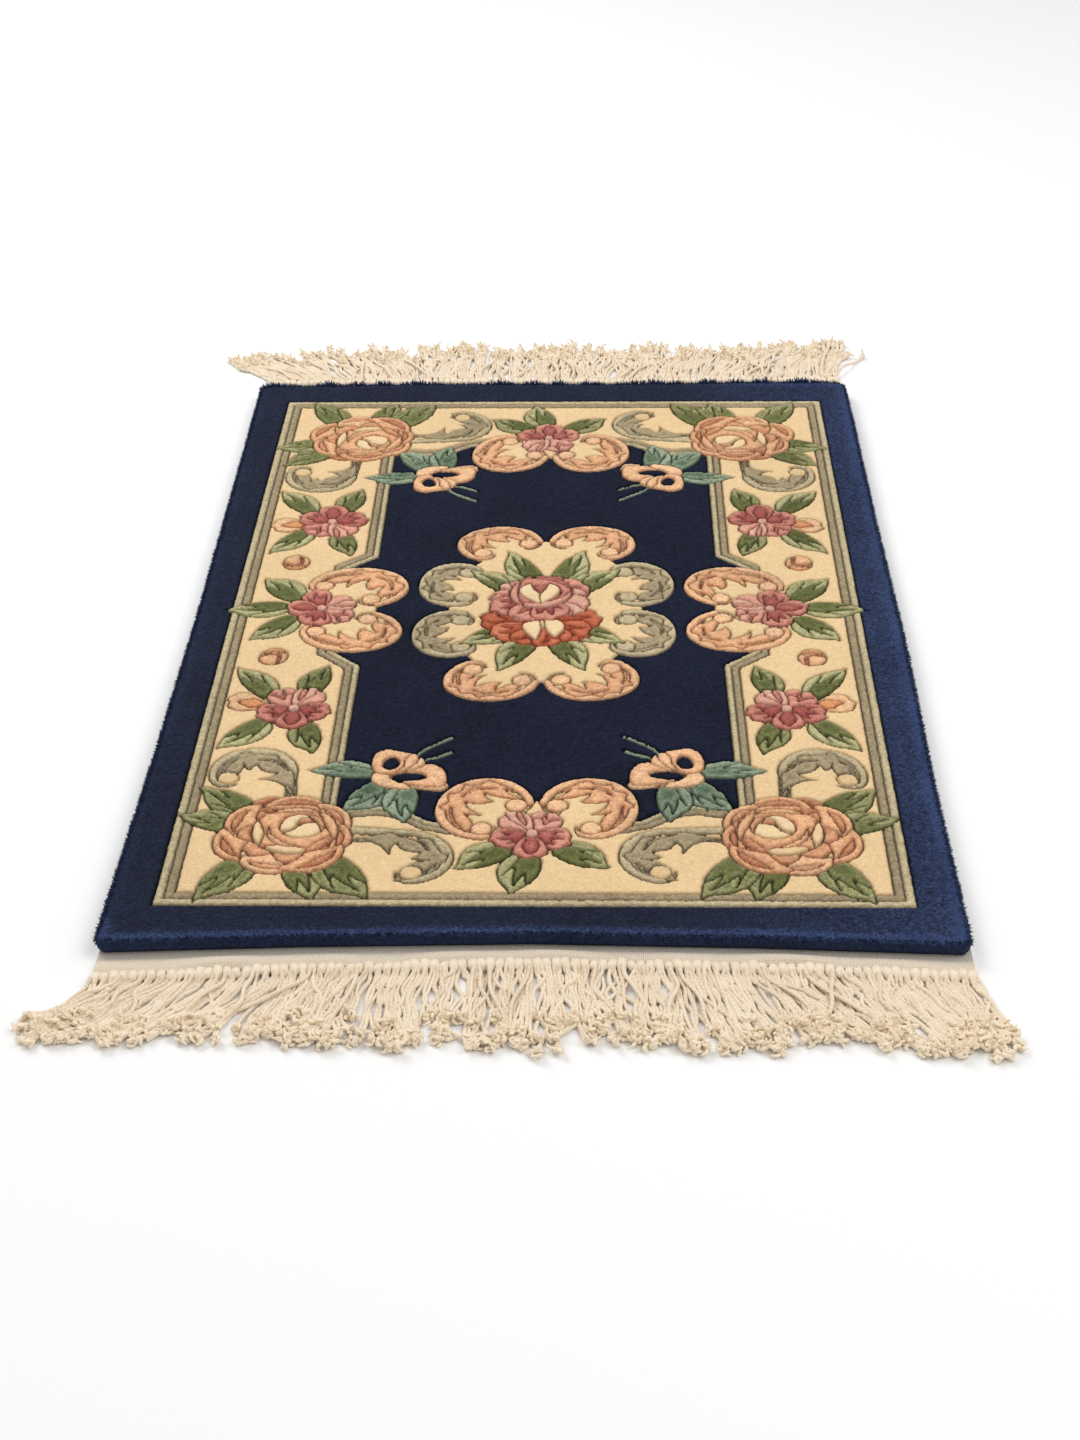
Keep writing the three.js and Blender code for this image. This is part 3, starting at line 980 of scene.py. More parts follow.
yarns = {
    # Each has the dark, middle and light of its dye. Mottle and relief say how uneven its knots are,
    # and edge how much lighter it is along the edges of its islands.
    "navy": {"dyes": [(0.003, 0.004, 0.009), (0.0117, 0.0158, 0.0355), (0.034, 0.056, 0.140)],
             "slot": "navy_wool", "mottle": 1.8, "relief": 1.2, "sheen": 0.07},
    "field": {"dyes": [(0.003, 0.005, 0.012), (0.0065, 0.0092, 0.025), (0.015, 0.024, 0.062)],
              "slot": "navy_wool", "mottle": 2.4, "relief": 1.2, "sheen": 0.07},
    "cream": {"dyes": [(0.60, 0.41, 0.20), (0.79, 0.56, 0.30), (0.90, 0.72, 0.46)],
              "slot": "cream_wool", "mottle": 0.45, "relief": 0.5},
    "peach": {"dyes": [(0.50, 0.19, 0.095), (0.80, 0.425, 0.225), (0.84, 0.52, 0.30)],
              "slot": "peach_wool", "mottle": 1.3, "edge": -0.12},
    "pink": {"dyes": [(0.36, 0.085, 0.075), (0.66, 0.275, 0.20), (0.76, 0.43, 0.32)],
             "slot": "pink_wool", "edge": -0.1},
    "coral": {"dyes": [(0.36, 0.07, 0.033), (0.53, 0.14, 0.07), (0.68, 0.27, 0.15)],
              "slot": "coral_wool", "edge": -0.1},
    "green": {"dyes": [(0.085, 0.095, 0.028), (0.18, 0.19, 0.068), (0.48, 0.45, 0.23)],
              "slot": "green_wool", "mottle": 1.3, "edge": 0.2},
    "teal": {"dyes": [(0.055, 0.090, 0.052), (0.155, 0.215, 0.138), (0.33, 0.39, 0.27)],
             "slot": "teal_wool", "mottle": 1.3, "edge": 0.3},
    "sage": {"dyes": [(0.22, 0.170, 0.100), (0.38, 0.30, 0.18), (0.56, 0.46, 0.28)],
             "slot": "sage_wool", "mottle": 1.3, "edge": 0.16},
    "orange": {"dyes": [(0.54, 0.18, 0.07), (0.70, 0.30, 0.13), (0.82, 0.45, 0.22)],
               "slot": "coral_wool"},
}


def put(tree, kind, inputs=(), **settings):
    # a new node with its settings; its inputs are numbers, or sockets to link from
    made = tree.nodes.new(kind)
    for name, value in settings.items():
        setattr(made, name, value)
    for name, value in dict(inputs).items():
        if isinstance(value, bpy.types.NodeSocket):
            tree.links.new(value, made.inputs[name])
        else:
            made.inputs[name].default_value = value
    return made


def calc(tree, kind, a, b=0.0):
    return put(tree, "ShaderNodeMath", {0: a, 1: b}, operation=kind).outputs[0]


def ranged(tree, value, low, high, toLow, toHigh):
    limits = {"Value": value, "From Min": low, "From Max": high, "To Min": toLow, "To Max": toHigh}
    return put(tree, "ShaderNodeMapRange", limits).outputs["Result"]


def mixed(tree, factor, a, b, kind="MIX"):
    return put(tree, "ShaderNodeMix", {0: factor, 6: a, 7: b}, data_type="RGBA", blend_type=kind).outputs[2]


def grained(tree, place, scale, detail=2.0):
    return put(tree, "ShaderNodeTexNoise", {"Vector": place, "Scale": scale, "Detail": detail}).outputs["Fac"]


def shadeOf(tree, colour, shade):
    grey = put(tree, "ShaderNodeCombineColor", {0: shade, 1: shade, 2: shade}).outputs[0]
    return mixed(tree, 1.0, colour, grey, "MULTIPLY")


def newGroup(name, sockets):
    group = bpy.data.node_groups.new(name, "ShaderNodeTree")
    for label, kind in sockets:
        group.interface.new_socket(label, in_out="INPUT", socket_type="NodeSocket" + kind)
    group.interface.new_socket("Color", in_out="OUTPUT", socket_type="NodeSocketColor")
    group.interface.new_socket("Normal", in_out="OUTPUT", socket_type="NodeSocketVector")
    return group, group.nodes.new("NodeGroupInput").outputs, group.nodes.new("NodeGroupOutput").inputs


def cutPileGroup():
    # shorn wool: knots of slightly different shades, loose fibre ends, and painted shade in the gaps between
    # the knots and in the carved lines
    group, given, result = newGroup("cutPile", [
        ("Dark", "Color"), ("Middle", "Color"), ("Light", "Color"), ("Tone", "Float"), ("Carved", "Float"),
        ("Mottle", "Float"), ("Relief", "Float")])
    place = put(group, "ShaderNodeTexCoord").outputs["Object"]
    knots = put(group, "ShaderNodeTexVoronoi", {"Vector": place, "Scale": 380})
    fibre = grained(group, place, 1300, 3)
    lay = grained(group, place, 12, 3)
    lower = mixed(group, ranged(group, given["Tone"], 0, 0.5, 0, 1), given["Dark"], given["Middle"])
    yarn = mixed(group, ranged(group, given["Tone"], 0.5, 1, 0, 1), lower, given["Light"])
    dye = put(group, "ShaderNodeSeparateColor", {0: knots.outputs["Color"]}).outputs[0]
    # painted light and shade on the knots: lighter in their middles and darker in the gaps between them, on
    # top of random fibre, lay and dye variation
    shade = ranged(group, fibre, 0.3, 0.7, -0.14, 0.14)
    for part in (ranged(group, lay, 0.3, 0.7, -0.08, 0.08), ranged(group, dye, 0, 1, -0.1, 0.1),
                 ranged(group, knots.outputs["Distance"], 0.0, 0.7, 0.12, -0.11)):
        shade = calc(group, "ADD", shade, part)
    shade = calc(group, "ADD", calc(group, "MULTIPLY", shade, given["Mottle"]), 1.0)
    # painted shade: where the carved attribute is low, in the grooves and on the foot, the colour goes to a
    # dark shade of the dye
    paintedGrooveShade = shadeOf(group, given["Dark"], 0.4)
    yarn = mixed(group, ranged(group, given["Carved"], 0.1, 0.95, 0.92, 0), yarn, paintedGrooveShade)
    group.links.new(shadeOf(group, yarn, shade), result["Color"])
    lumps = calc(group, "ADD", calc(group, "MULTIPLY", knots.outputs["Distance"], -0.9),
                 calc(group, "MULTIPLY", fibre, 0.8))
    lumps = calc(group, "MULTIPLY", lumps, given["Relief"])
    bump = put(group, "ShaderNodeBump", {"Strength": 0.6, "Distance": 0.001, "Height": lumps})
    group.links.new(bump.outputs["Normal"], result["Normal"])
    return group


def twistedCottonGroup():
    # Twist holds the direction round the cord and the length along it, in metres
    group, given, result = newGroup("twistedCotton", [
        ("Light", "Color"), ("Shadow", "Color"), ("Twist", "Vector"), ("Pitch", "Float"), ("Worn", "Float")])
    place = put(group, "ShaderNodeTexCoord").outputs["Object"]
    parts = put(group, "ShaderNodeSeparateXYZ", {0: given["Twist"]}).outputs
    around = calc(group, "ARCTAN2", parts[1], parts[0])
    along = calc(group, "MULTIPLY", calc(group, "DIVIDE", parts[2], given["Pitch"]), math.tau)
    ply = calc(group, "COSINE", calc(group, "ADD", along, around))
    fibre = grained(group, place, 1500, 3)
    patch = grained(group, place, 90, 2)
    # painted shade in the grooves between the plies, mixed towards the shadow colour along with random
    # patches; worn parts get less of it
    depth = calc(group, "ADD", calc(group, "MULTIPLY", ply, -0.16), ranged(group, patch, 0.3, 0.7, 0.0, 0.4))
    depth = calc(group, "SUBTRACT", depth, calc(group, "MULTIPLY", given["Worn"], 0.2))
    colour = mixed(group, calc(group, "MAXIMUM", depth, 0.0), given["Light"], given["Shadow"])
    group.links.new(shadeOf(group, colour, ranged(group, fibre, 0.3, 0.7, 0.92, 1.06)), result["Color"])
    relief = calc(group, "ADD", calc(group, "MULTIPLY", ply, 0.5), calc(group, "MULTIPLY", fibre, 0.5))
    bump = put(group, "ShaderNodeBump", {"Strength": 0.5, "Distance": 0.0004, "Height": relief})
    group.links.new(bump.outputs["Normal"], result["Normal"])
    return group


def plainWeaveGroup():
    # warp ribs across X and weft rows across Y, painted towards the shadow colour in the hollows between
    # them, and further where the dust input says, as painted shade and dust next to the pile
    group, given, result = newGroup("plainWeave", [
        ("Light", "Color"), ("Shadow", "Color"), ("Rib", "Float"), ("Row", "Float"), ("DustAndShade", "Float")])
    place = put(group, "ShaderNodeTexCoord").outputs["Object"]
    parts = put(group, "ShaderNodeSeparateXYZ", {0: place}).outputs
    stray = ranged(group, grained(group, place, 160, 1), 0.3, 0.7, -0.9, 0.9)
    ribs = calc(group, "DIVIDE", parts[0], given["Rib"])
    ribs = calc(group, "SINE", calc(group, "ADD", calc(group, "MULTIPLY", ribs, math.tau), stray))
    rows = calc(group, "DIVIDE", parts[1], given["Row"])
    rows = calc(group, "SINE", calc(group, "ADD", calc(group, "MULTIPLY", rows, math.tau), stray))
    weave = calc(group, "ADD", calc(group, "MULTIPLY", ribs, 0.6), calc(group, "MULTIPLY", rows, 0.25))
    fibre = grained(group, place, 1500, 3)
    depth = calc(group, "ADD", ranged(group, weave, -0.8, 0.8, 0.6, 0.0), given["DustAndShade"])
    colour = mixed(group, calc(group, "MINIMUM", depth, 1.0), given["Light"], given["Shadow"])
    group.links.new(shadeOf(group, colour, ranged(group, fibre, 0.3, 0.7, 0.93, 1.05)), result["Color"])
    relief = calc(group, "ADD", weave, calc(group, "MULTIPLY", fibre, 0.5))
    bump = put(group, "ShaderNodeBump", {"Strength": 0.6, "Distance": 0.0004, "Height": relief})
    group.links.new(bump.outputs["Normal"], result["Normal"])
    return group


cutPile = cutPileGroup()
twistedCotton = twistedCottonGroup()
plainWeave = plainWeaveGroup()


def fibreMaterial(name, group, values, attributes, sheen, tint):
    # a soft matt surface with one of the groups above, and attributes of the mesh on its inputs
    material = bpy.data.materials.new(name)
    material.use_nodes = True
    tree = material.node_tree
    surface = tree.nodes["Principled BSDF"]
    look = put(tree, "ShaderNodeGroup", node_tree=group)
    for label, value in values.items():
        look.inputs[label].default_value = (*value, 1) if isinstance(value, tuple) else value
    for label, attribute in attributes.items():
        source = put(tree, "ShaderNodeAttribute", attribute_name=attribute).outputs
        vector = look.inputs[label].type == "VECTOR"
        tree.links.new(source["Vector" if vector else "Fac"], look.inputs[label])
    tree.links.new(look.outputs["Color"], surface.inputs["Base Color"])
    tree.links.new(look.outputs["Normal"], surface.inputs["Normal"])
    surface.inputs["Roughness"].default_value = 0.95
    surface.inputs["Specular IOR Level"].default_value = 0.15
    surface.inputs["Sheen Weight"].default_value = sheen
    surface.inputs["Sheen Roughness"].default_value = 0.5
    surface.inputs["Sheen Tint"].default_value = (*tint, 1)
    return material


# How the tone of the pile varies, with distances in millimetres
napLook = {
    "stray": 0.07,
    # along the edges of islands: where it is strongest, how wide it is, and what it loses further in
    "edge": {"peak": 1.6, "width": 1.9, "inner": 3, "loss": 0.5},
    "streaks": 0.07,
    "border": 0.4,
    # the navy border is painted brighter along its edge and towards the right and the near end, a painted
    # highlight where its nap catches light
    "paintedNapHighlight": {"peak": 5, "width": 5, "least": 0.1, "more": 0.35, "everywhere": 0.06, "rightwards": 0.32,
               "uneven": (0.4, 1.5)},
    "right": {"start": 120, "length": 180},
    "near": {"start": 440, "length": 12},
}


def napTones(look, families):
    centres = flat[triangles].mean(1)
    tones = np.array([islands[k]["tone"] if k >= 0 else look["border"] for k in owner])
    tones = tones + noise.normal(0, look["stray"], len(tones))
    inland = lineAway[triangles].mean(1)
    rule = look["edge"]
    fringed = np.exp(-((inland - rule["peak"]) / rule["width"]) ** 2)
    fringed = fringed - rule["loss"] * np.clip((inland - rule["inner"]) / rule["inner"], 0, 1)
    streaks = np.sin(centres.real / 2.9 + 2 * np.sin(centres.imag / 7)) * np.sin(centres.imag / 3.3)
    for name, yarn in yarns.items():
        if "edge" in yarn:
            tones += (families == name) * (yarn["edge"] * fringed + look["streaks"] * streaks)
    # painted highlight on the navy border: a brighter band along its edge, stronger towards the right and the
    # near end, and a lighter tone towards the right
    border = families == "navy"
    x, y = centres[border].real, centres[border].imag
    right = np.clip((x - look["right"]["start"]) / look["right"]["length"], 0, 1)
    near = np.clip((-y - look["near"]["start"]) / look["near"]["length"], 0, 1)
    rule = look["paintedNapHighlight"]
    # worn here is the band along the border's edge where the painted highlight is strongest
    worn = np.exp(-((rimAway[triangles].mean(1)[border] - rule["peak"]) / rule["width"]) ** 2)
    paintedNapHighlight = (rule["least"] + rule["more"] * np.maximum(right, near)) * worn
    paintedNapHighlight = paintedNapHighlight + rule["everywhere"] + rule["rightwards"] * right
    tones[border] += paintedNapHighlight * noise.uniform(*rule["uneven"], border.sum())
    return tones


pieces = {}
families = np.array([islands[k]["yarn"] if k >= 0 else "navy" for k in owner])
tones = napTones(napLook, families)
for name, yarn in yarns.items():
    chosen = families == name
    thing = inlay("pile_" + name, chosen, tones[chosen])
    dark, middle, light = yarn["dyes"]
    values = {"Dark": dark, "Middle": middle, "Light": light, "Mottle": yarn.get("mottle", 1.0),
              "Relief": yarn.get("relief", 1.0)}
    tint = tuple(min(1, c * 3 + 0.03) for c in middle)
    thing.data.materials.append(fibreMaterial(
        name + "Wool", cutPile, values, {"Tone": "tone", "Carved": "carved"}, yarn.get("sheen", 0.12), tint))
    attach(thing, "root")
    pieces[name] = thing
    print(name, len(thing.data.polygons))
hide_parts("pile")


# Geometry Nodes: strings along lines, and small shapes set on points

def treeWith(name, sockets):
    tree = bpy.data.node_groups.new(name, "GeometryNodeTree")
    tree.interface.new_socket("Geometry", in_out="INPUT", socket_type="NodeSocketGeometry")
    for label, kind in sockets:
        tree.interface.new_socket(label, in_out="INPUT", socket_type="NodeSocket" + kind)
    tree.interface.new_socket("Geometry", in_out="OUTPUT", socket_type="NodeSocketGeometry")
    return tree, put(tree, "NodeGroupInput").outputs, put(tree, "NodeGroupOutput").inputs["Geometry"]


def attributeOf(tree, name, kind="FLOAT"):
    return put(tree, "GeometryNodeInputNamedAttribute", {"Name": name}, data_type=kind).outputs["Attribute"]


def ended(tree, geometry, material, result):
    realised = put(tree, "GeometryNodeRealizeInstances", {"Geometry": geometry}).outputs[0]
    made = put(tree, "GeometryNodeSetMaterial", {"Geometry": realised, "Material": material})
    tree.links.new(made.outputs[0], result)


def stringTree():
    # a tube along each line, as thick as its points say, with the twist's direction and length kept on it
    tree, given, result = treeWith("strings", [("Sides", "Int"), ("Material", "Material")])
    curve = put(tree, "GeometryNodeMeshToCurve", {"Mesh": given["Geometry"]}).outputs[0]
    place = put(tree, "GeometryNodeSplineParameter").outputs
    along = put(tree, "GeometryNodeCaptureAttribute", {"Geometry": curve}, domain="POINT")
    along.capture_items.new("FLOAT", "along")
    tree.links.new(place["Length"], along.inputs["along"])
    circle = {"Resolution": given["Sides"], "Radius": 1.0}
    ring = put(tree, "GeometryNodeCurvePrimitiveCircle", circle).outputs[0]
    turn = calc(tree, "MULTIPLY", place["Factor"], math.tau)
    around = put(tree, "GeometryNodeCaptureAttribute", {"Geometry": ring}, domain="POINT")
    around.capture_items.new("FLOAT", "cosine")
    around.capture_items.new("FLOAT", "sine")
    tree.links.new(calc(tree, "COSINE", turn), around.inputs["cosine"])
    tree.links.new(calc(tree, "SINE", turn), around.inputs["sine"])
    tube = put(tree, "GeometryNodeCurveToMesh", {
        "Curve": along.outputs[0], "Profile Curve": around.outputs[0], "Scale": attributeOf(tree, "thick"),
        "Fill Caps": True}).outputs[0]
    twist = put(tree, "ShaderNodeCombineXYZ", {0: around.outputs["cosine"], 1: around.outputs["sine"],
                                               2: along.outputs["along"]}).outputs[0]
    kept = put(tree, "GeometryNodeStoreNamedAttribute", {"Geometry": tube, "Name": "twist", "Value": twist},
               data_type="FLOAT_VECTOR", domain="POINT").outputs[0]
    ended(tree, kept, given["Material"], result)
    return tree


def scattered(tree, points, shape, turn, size):
    inputs = {"Points": points, "Instance": shape, "Rotation": turn, "Scale": size}
    return put(tree, "GeometryNodeInstanceOnPoints", inputs).outputs[0]


def randomVector(tree, low, high, seed):
    limits = {0: low, 1: high, "Seed": seed}
    return put(tree, "FunctionNodeRandomValue", limits, data_type="FLOAT_VECTOR").outputs[0]


def hitchTree():
    # one pillow-shaped hitch on every point
    tree, given, result = treeWith("hitches", [("Size", "Vector"), ("Seed", "Int"), ("Material", "Material")])
    block = put(tree, "GeometryNodeMeshCube", {"Size": (2.3, 2.3, 2.3)}).outputs["Mesh"]
    rounding = {"Mesh": block, "Level": 1, "Edge Crease": 0.25}
    ball = put(tree, "GeometryNodeSubdivisionSurface", rounding).outputs[0]
    turn = randomVector(tree, (-0.3, -0.25, -0.3), (0.3, 0.25, 0.3), given["Seed"])
    stray = randomVector(tree, (0.86, 0.86, 0.86), (1.1, 1.12, 1.15), given["Seed"])
    size = put(tree, "ShaderNodeVectorMath", {0: given["Size"], 1: stray}, operation="MULTIPLY").outputs[0]
    ended(tree, scattered(tree, given["Geometry"], ball, turn, size), given["Material"], result)
    return tree


def bristleTree():
    # a pointed wisp on every point, leaning as the point's attribute "out" says
    tree, given, result = treeWith("bristles", [
        ("Thickness", "Float"), ("Shortest", "Float"), ("Longest", "Float"), ("Seed", "Int"),
        ("Material", "Material")])
    wisp = put(tree, "GeometryNodeMeshCone", {"Vertices": 3, "Side Segments": 1, "Radius Top": 0.15,
                                              "Radius Bottom": 1.0, "Depth": 1.0}).outputs["Mesh"]
    aim = {"Vector": attributeOf(tree, "out", "FLOAT_VECTOR")}
    lean = put(tree, "FunctionNodeAlignRotationToVector", aim, axis="Z").outputs[0]
    limits = {2: given["Shortest"], 3: given["Longest"], "Seed": given["Seed"]}
    long = put(tree, "FunctionNodeRandomValue", limits, data_type="FLOAT").outputs[1]
    wide = given["Thickness"]
    size = put(tree, "ShaderNodeCombineXYZ", {0: wide, 1: wide, 2: long}).outputs[0]
    scaling = {0: size, "Scale": attributeOf(tree, "size")}
    size = put(tree, "ShaderNodeVectorMath", scaling, operation="SCALE").outputs[0]
    ended(tree, scattered(tree, given["Geometry"], wisp, lean, size), given["Material"], result)
    return tree


strings = stringTree()
hitches = hitchTree()
bristles = bristleTree()


def grown(thing, tree, values):
    # run a tree on an object and keep what it makes as the object's mesh
    modifier = thing.modifiers.new("growing", "NODES")
    modifier.node_group = tree
    for item in tree.interface.items_tree:
        if item.item_type == "SOCKET" and item.in_out == "INPUT" and item.name in values:
            modifier[item.identifier] = values[item.name]
    graph = bpy.context.evaluated_depsgraph_get()
    mesh = bpy.data.meshes.new_from_object(thing.evaluated_get(graph), preserve_all_data_layers=True,
                                           depsgraph=graph)
    thing.modifiers.remove(modifier)
    thing.data = mesh
    mesh.polygons.foreach_set("use_smooth", [True] * len(mesh.polygons))
    return thing


# Foundation: woven cotton, bare and slightly rolled up beyond the pile at both ends

groundLook = {
    "thickness": 2.6,
    "column": 3.2,
    "under": 6,        # how far the shaped part goes in under the pile
    # rows of points from the end of the band back to there, as shares of the way
    "shares": [1, 0.93, 0.84, 0.74, 0.64, 0.54, 0.44, 0.34, 0.22, 0.08],
    "roll": {"near": 2.5, "far": 1.4, "middle": 0.7, "half": 0.28},
    "waver": 0.7,
    # how much further out the near end's fold and knots lie along x
    "drop": {"x": [-297, -200, -60, 110, 302], "y": [8, 5.5, 2, 0.5, 3]},
    # how the near band's corners spread, over the last part of its width
    "spread": {"from": (-250, 255), "over": 47, "left": 3, "leftEnd": 4, "right": 4.5},
    # the strip next to the pile that is painted towards the shadow colour, as painted shade and dust: up to
    # which share it is full, over how much it fades, and how strong it is
    "dustAndShade": {"from": 0.36, "over": 0.2, "most": 0.85},
    "rib": 0.0016,     # the weave's pitch along X and Y, in metres
    "row": 0.0012,
}


def headingLine(outwards):
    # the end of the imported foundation, as a list of places from left to right
    corners = np.array([v.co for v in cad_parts["foundation"].data.vertices]) / mm
    corners = np.unique(corners[corners[:, 1] * outwards > 0][:, :2].round(2), axis=0)
    return corners[:, 0], corners[:, 1] + outwards * dropAt(corners[:, 0], outwards)


def dropAt(x, outwards):
    drop = groundLook["drop"]
    return np.interp(x, drop["x"], drop["y"]) * (outwards < 0)


def pileEnd(outwards):
    # the end of the pile's edge, from left to right
    end = edge[edge.imag * outwards > 440]
    end = end[np.argsort(end.real)]
    return end.real, end.imag


def groundMesh(look):
    left, right = headingLine(-1)[0][[0, -1]]
    count = int((right - left) / look["column"])
    x = np.linspace(left, right, count + 1)
    shares = np.array(look["shares"])
    roll, spread = look["roll"], look["spread"]
    leftwards = np.clip((spread["from"][0] - x) / spread["over"], 0, 1)
    rightwards = np.clip((x - spread["from"][1]) / spread["over"], 0, 1)
    rows = []
    for outwards, end in ((-1, "near"), (1, "far")):
        start = np.interp(x, *pileEnd(outwards)) - outwards * look["under"]
        heading = np.interp(x, *headingLine(outwards))
        waver = look["waver"] * (np.sin(x / 23 + outwards) + 0.7 * np.sin(x / 9.1))
        size = roll[end] * (1 + 0.35 * np.sin(x / 31 + 2) + 0.25 * np.sin(x / 12.5))
        made = []
        for share in shares:
            bulge = np.clip(1 - ((share - roll["middle"] - 0.01 * waver) / roll["half"]) ** 2, 0, 1)
            y = start + (heading - start) * share + waver * share ** 2
            z = look["thickness"] + size * bulge - 0.5 * share ** 6
            aside = spread["right"] * rightwards - (spread["left"] + spread["leftEnd"] * share) * leftwards
            made.append(np.column_stack([x + aside * (outwards < 0), y, z]))
        rows += made if outwards < 0 else made[::-1]
    top = np.array(rows)
    across, along = len(x), len(rows)
    sole = np.array([top[0], top[-1]])
    sole[:, :, 2] = 0
    number = np.arange(across * along).reshape(along, across)
    low = np.arange(2 * across).reshape(2, across) + across * along
    faces = np.stack([number[:-1, :-1], number[:-1, 1:], number[1:, 1:], number[1:, :-1]], -1).reshape(-1, 4)
    below = np.stack([low[0, :-1], low[1, :-1], low[1, 1:], low[0, 1:]], -1)
    nearWall = np.stack([low[0, :-1], low[0, 1:], number[0, 1:], number[0, :-1]], -1)
    farWall = np.stack([low[1, 1:], low[1, :-1], number[-1, :-1], number[-1, 1:]], -1)
    walls = [[low[0, 0], *number[:, 0], low[1, 0]], [low[1, -1], *number[::-1, -1], low[0, -1]]]
    mesh = bpy.data.meshes.new("foundation_weave")
    corners = np.concatenate([top.reshape(-1, 3), sole.reshape(-1, 3)])
    quads = np.concatenate([faces, below, nearWall, farWall]).tolist()
    mesh.from_pydata((corners * mm).tolist(), [], quads + [[int(i) for i in wall] for wall in walls])
    # dust and painted shade gather in the fold next to the pile: there the band is painted towards its grey
    # shadow colour
    share = np.tile(np.concatenate([shares, shares[::-1]])[:, None], (1, across)).ravel()
    dustyShade = look["dustAndShade"]
    dustAndShade = np.clip(1 - (share - dustyShade["from"]) / dustyShade["over"], 0, 1) * dustyShade["most"]
    setValues(mesh, "dustAndShade", "POINT", np.concatenate([dustAndShade, np.zeros(2 * across)]))
    mesh.update()
    return linked("foundation_weave", mesh)


cotton = {
    "light": (0.90, 0.77, 0.60),
    "shadow": (0.72, 0.56, 0.39),
    "tip": (1.0, 0.85, 0.64),
    # the weave's painted shadow colour, for its hollows and for the painted shade and dust next to the pile
    "dustyShade": (0.56, 0.51, 0.44),
    "sheen": (1, 0.95, 0.85),
    "tipSheen": (1, 0.92, 0.78),
}
weave = groundMesh(groundLook)
weave.data.materials.append(fibreMaterial(
    "cottonWeave", plainWeave,
    {"Light": cotton["light"], "Shadow": cotton["dustyShade"], "Rib": groundLook["rib"], "Row": groundLook["row"]},
    {"DustAndShade": "dustAndShade"}, 0.2, cotton["sheen"]))
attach(weave, "root")
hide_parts("foundation")
print("foundation", len(weave.data.polygons))


# Fringes: hitched warp ends, twisted to cords whose tips are frayed

fringeLook = {
    "knotPitch": 6.5,
    "knot": (3.5, 5.6, 2.7),          # half sizes of a hitch
    "knotOut": (4.4, 5.8),            # how far from the heading the hitches sit
    "knotHeight": 3.2,
    "cordsPerKnot": (3, 3, 3, 4),
    "radius": 1.62,
    "points": 20,
    "sides": 5,
    "sweepPower": 1.4,
    # how the cords differ: share of the lean, spread of the tips, and share of cords that cross others
    "lean": (0.66, 1.06),
    "spread": 6,
    "crossing": {"share": 0.16, "spread": 26, "lift": 1.5},
    "shorter": 0.4,
    "clumps": {"pitch": 15, "stray": 5, "pull": 0.1},
    "sway": {"together": 2.6, "alone": 3.4, "fine": 2.3},
    "settling": {"rounds": 22, "gap": 2.95, "sink": 0.3, "smoothing": 0.05, "neighbours": 12, "push": 0.3},
    "strands": {"count": 7, "points": 5, "radius": 1.35, "length": (5.5, 9.5), "curl": 0.95, "sides": 4,
                "spread": 1.1, "taper": [0.8, 1.1, 1.15, 0.95, 0.5], "ceiling": 8.5},
    # how the cords lie: from a place x on the heading they lean sideways and reach out past it
    "near": {
        "outwards": -1,
        "knotted": (-301, 306),
        "tips": 1.0,
        "lie": [(-297, -41, 68), (-270, -56, 74), (-220, -56, 72), (-170, -32, 74), (-100, -10, 80),
                (0, 2, 84), (90, 12, 82), (150, 28, 78), (205, 40, 76), (255, 36, 80), (302, 18, 84)],
    },
    "far": {
        "outwards": 1,
        "knotted": (-294, 300),
        "tips": 0.75,
        "lie": [(-297, -56, 58), (-270, -72, 66), (-225, -50, 76), (-175, -18, 84), (-100, 0, 86),
                (0, 3, 88), (100, 10, 84), (165, 26, 82), (220, 24, 88), (302, 14, 98)],
    },
}


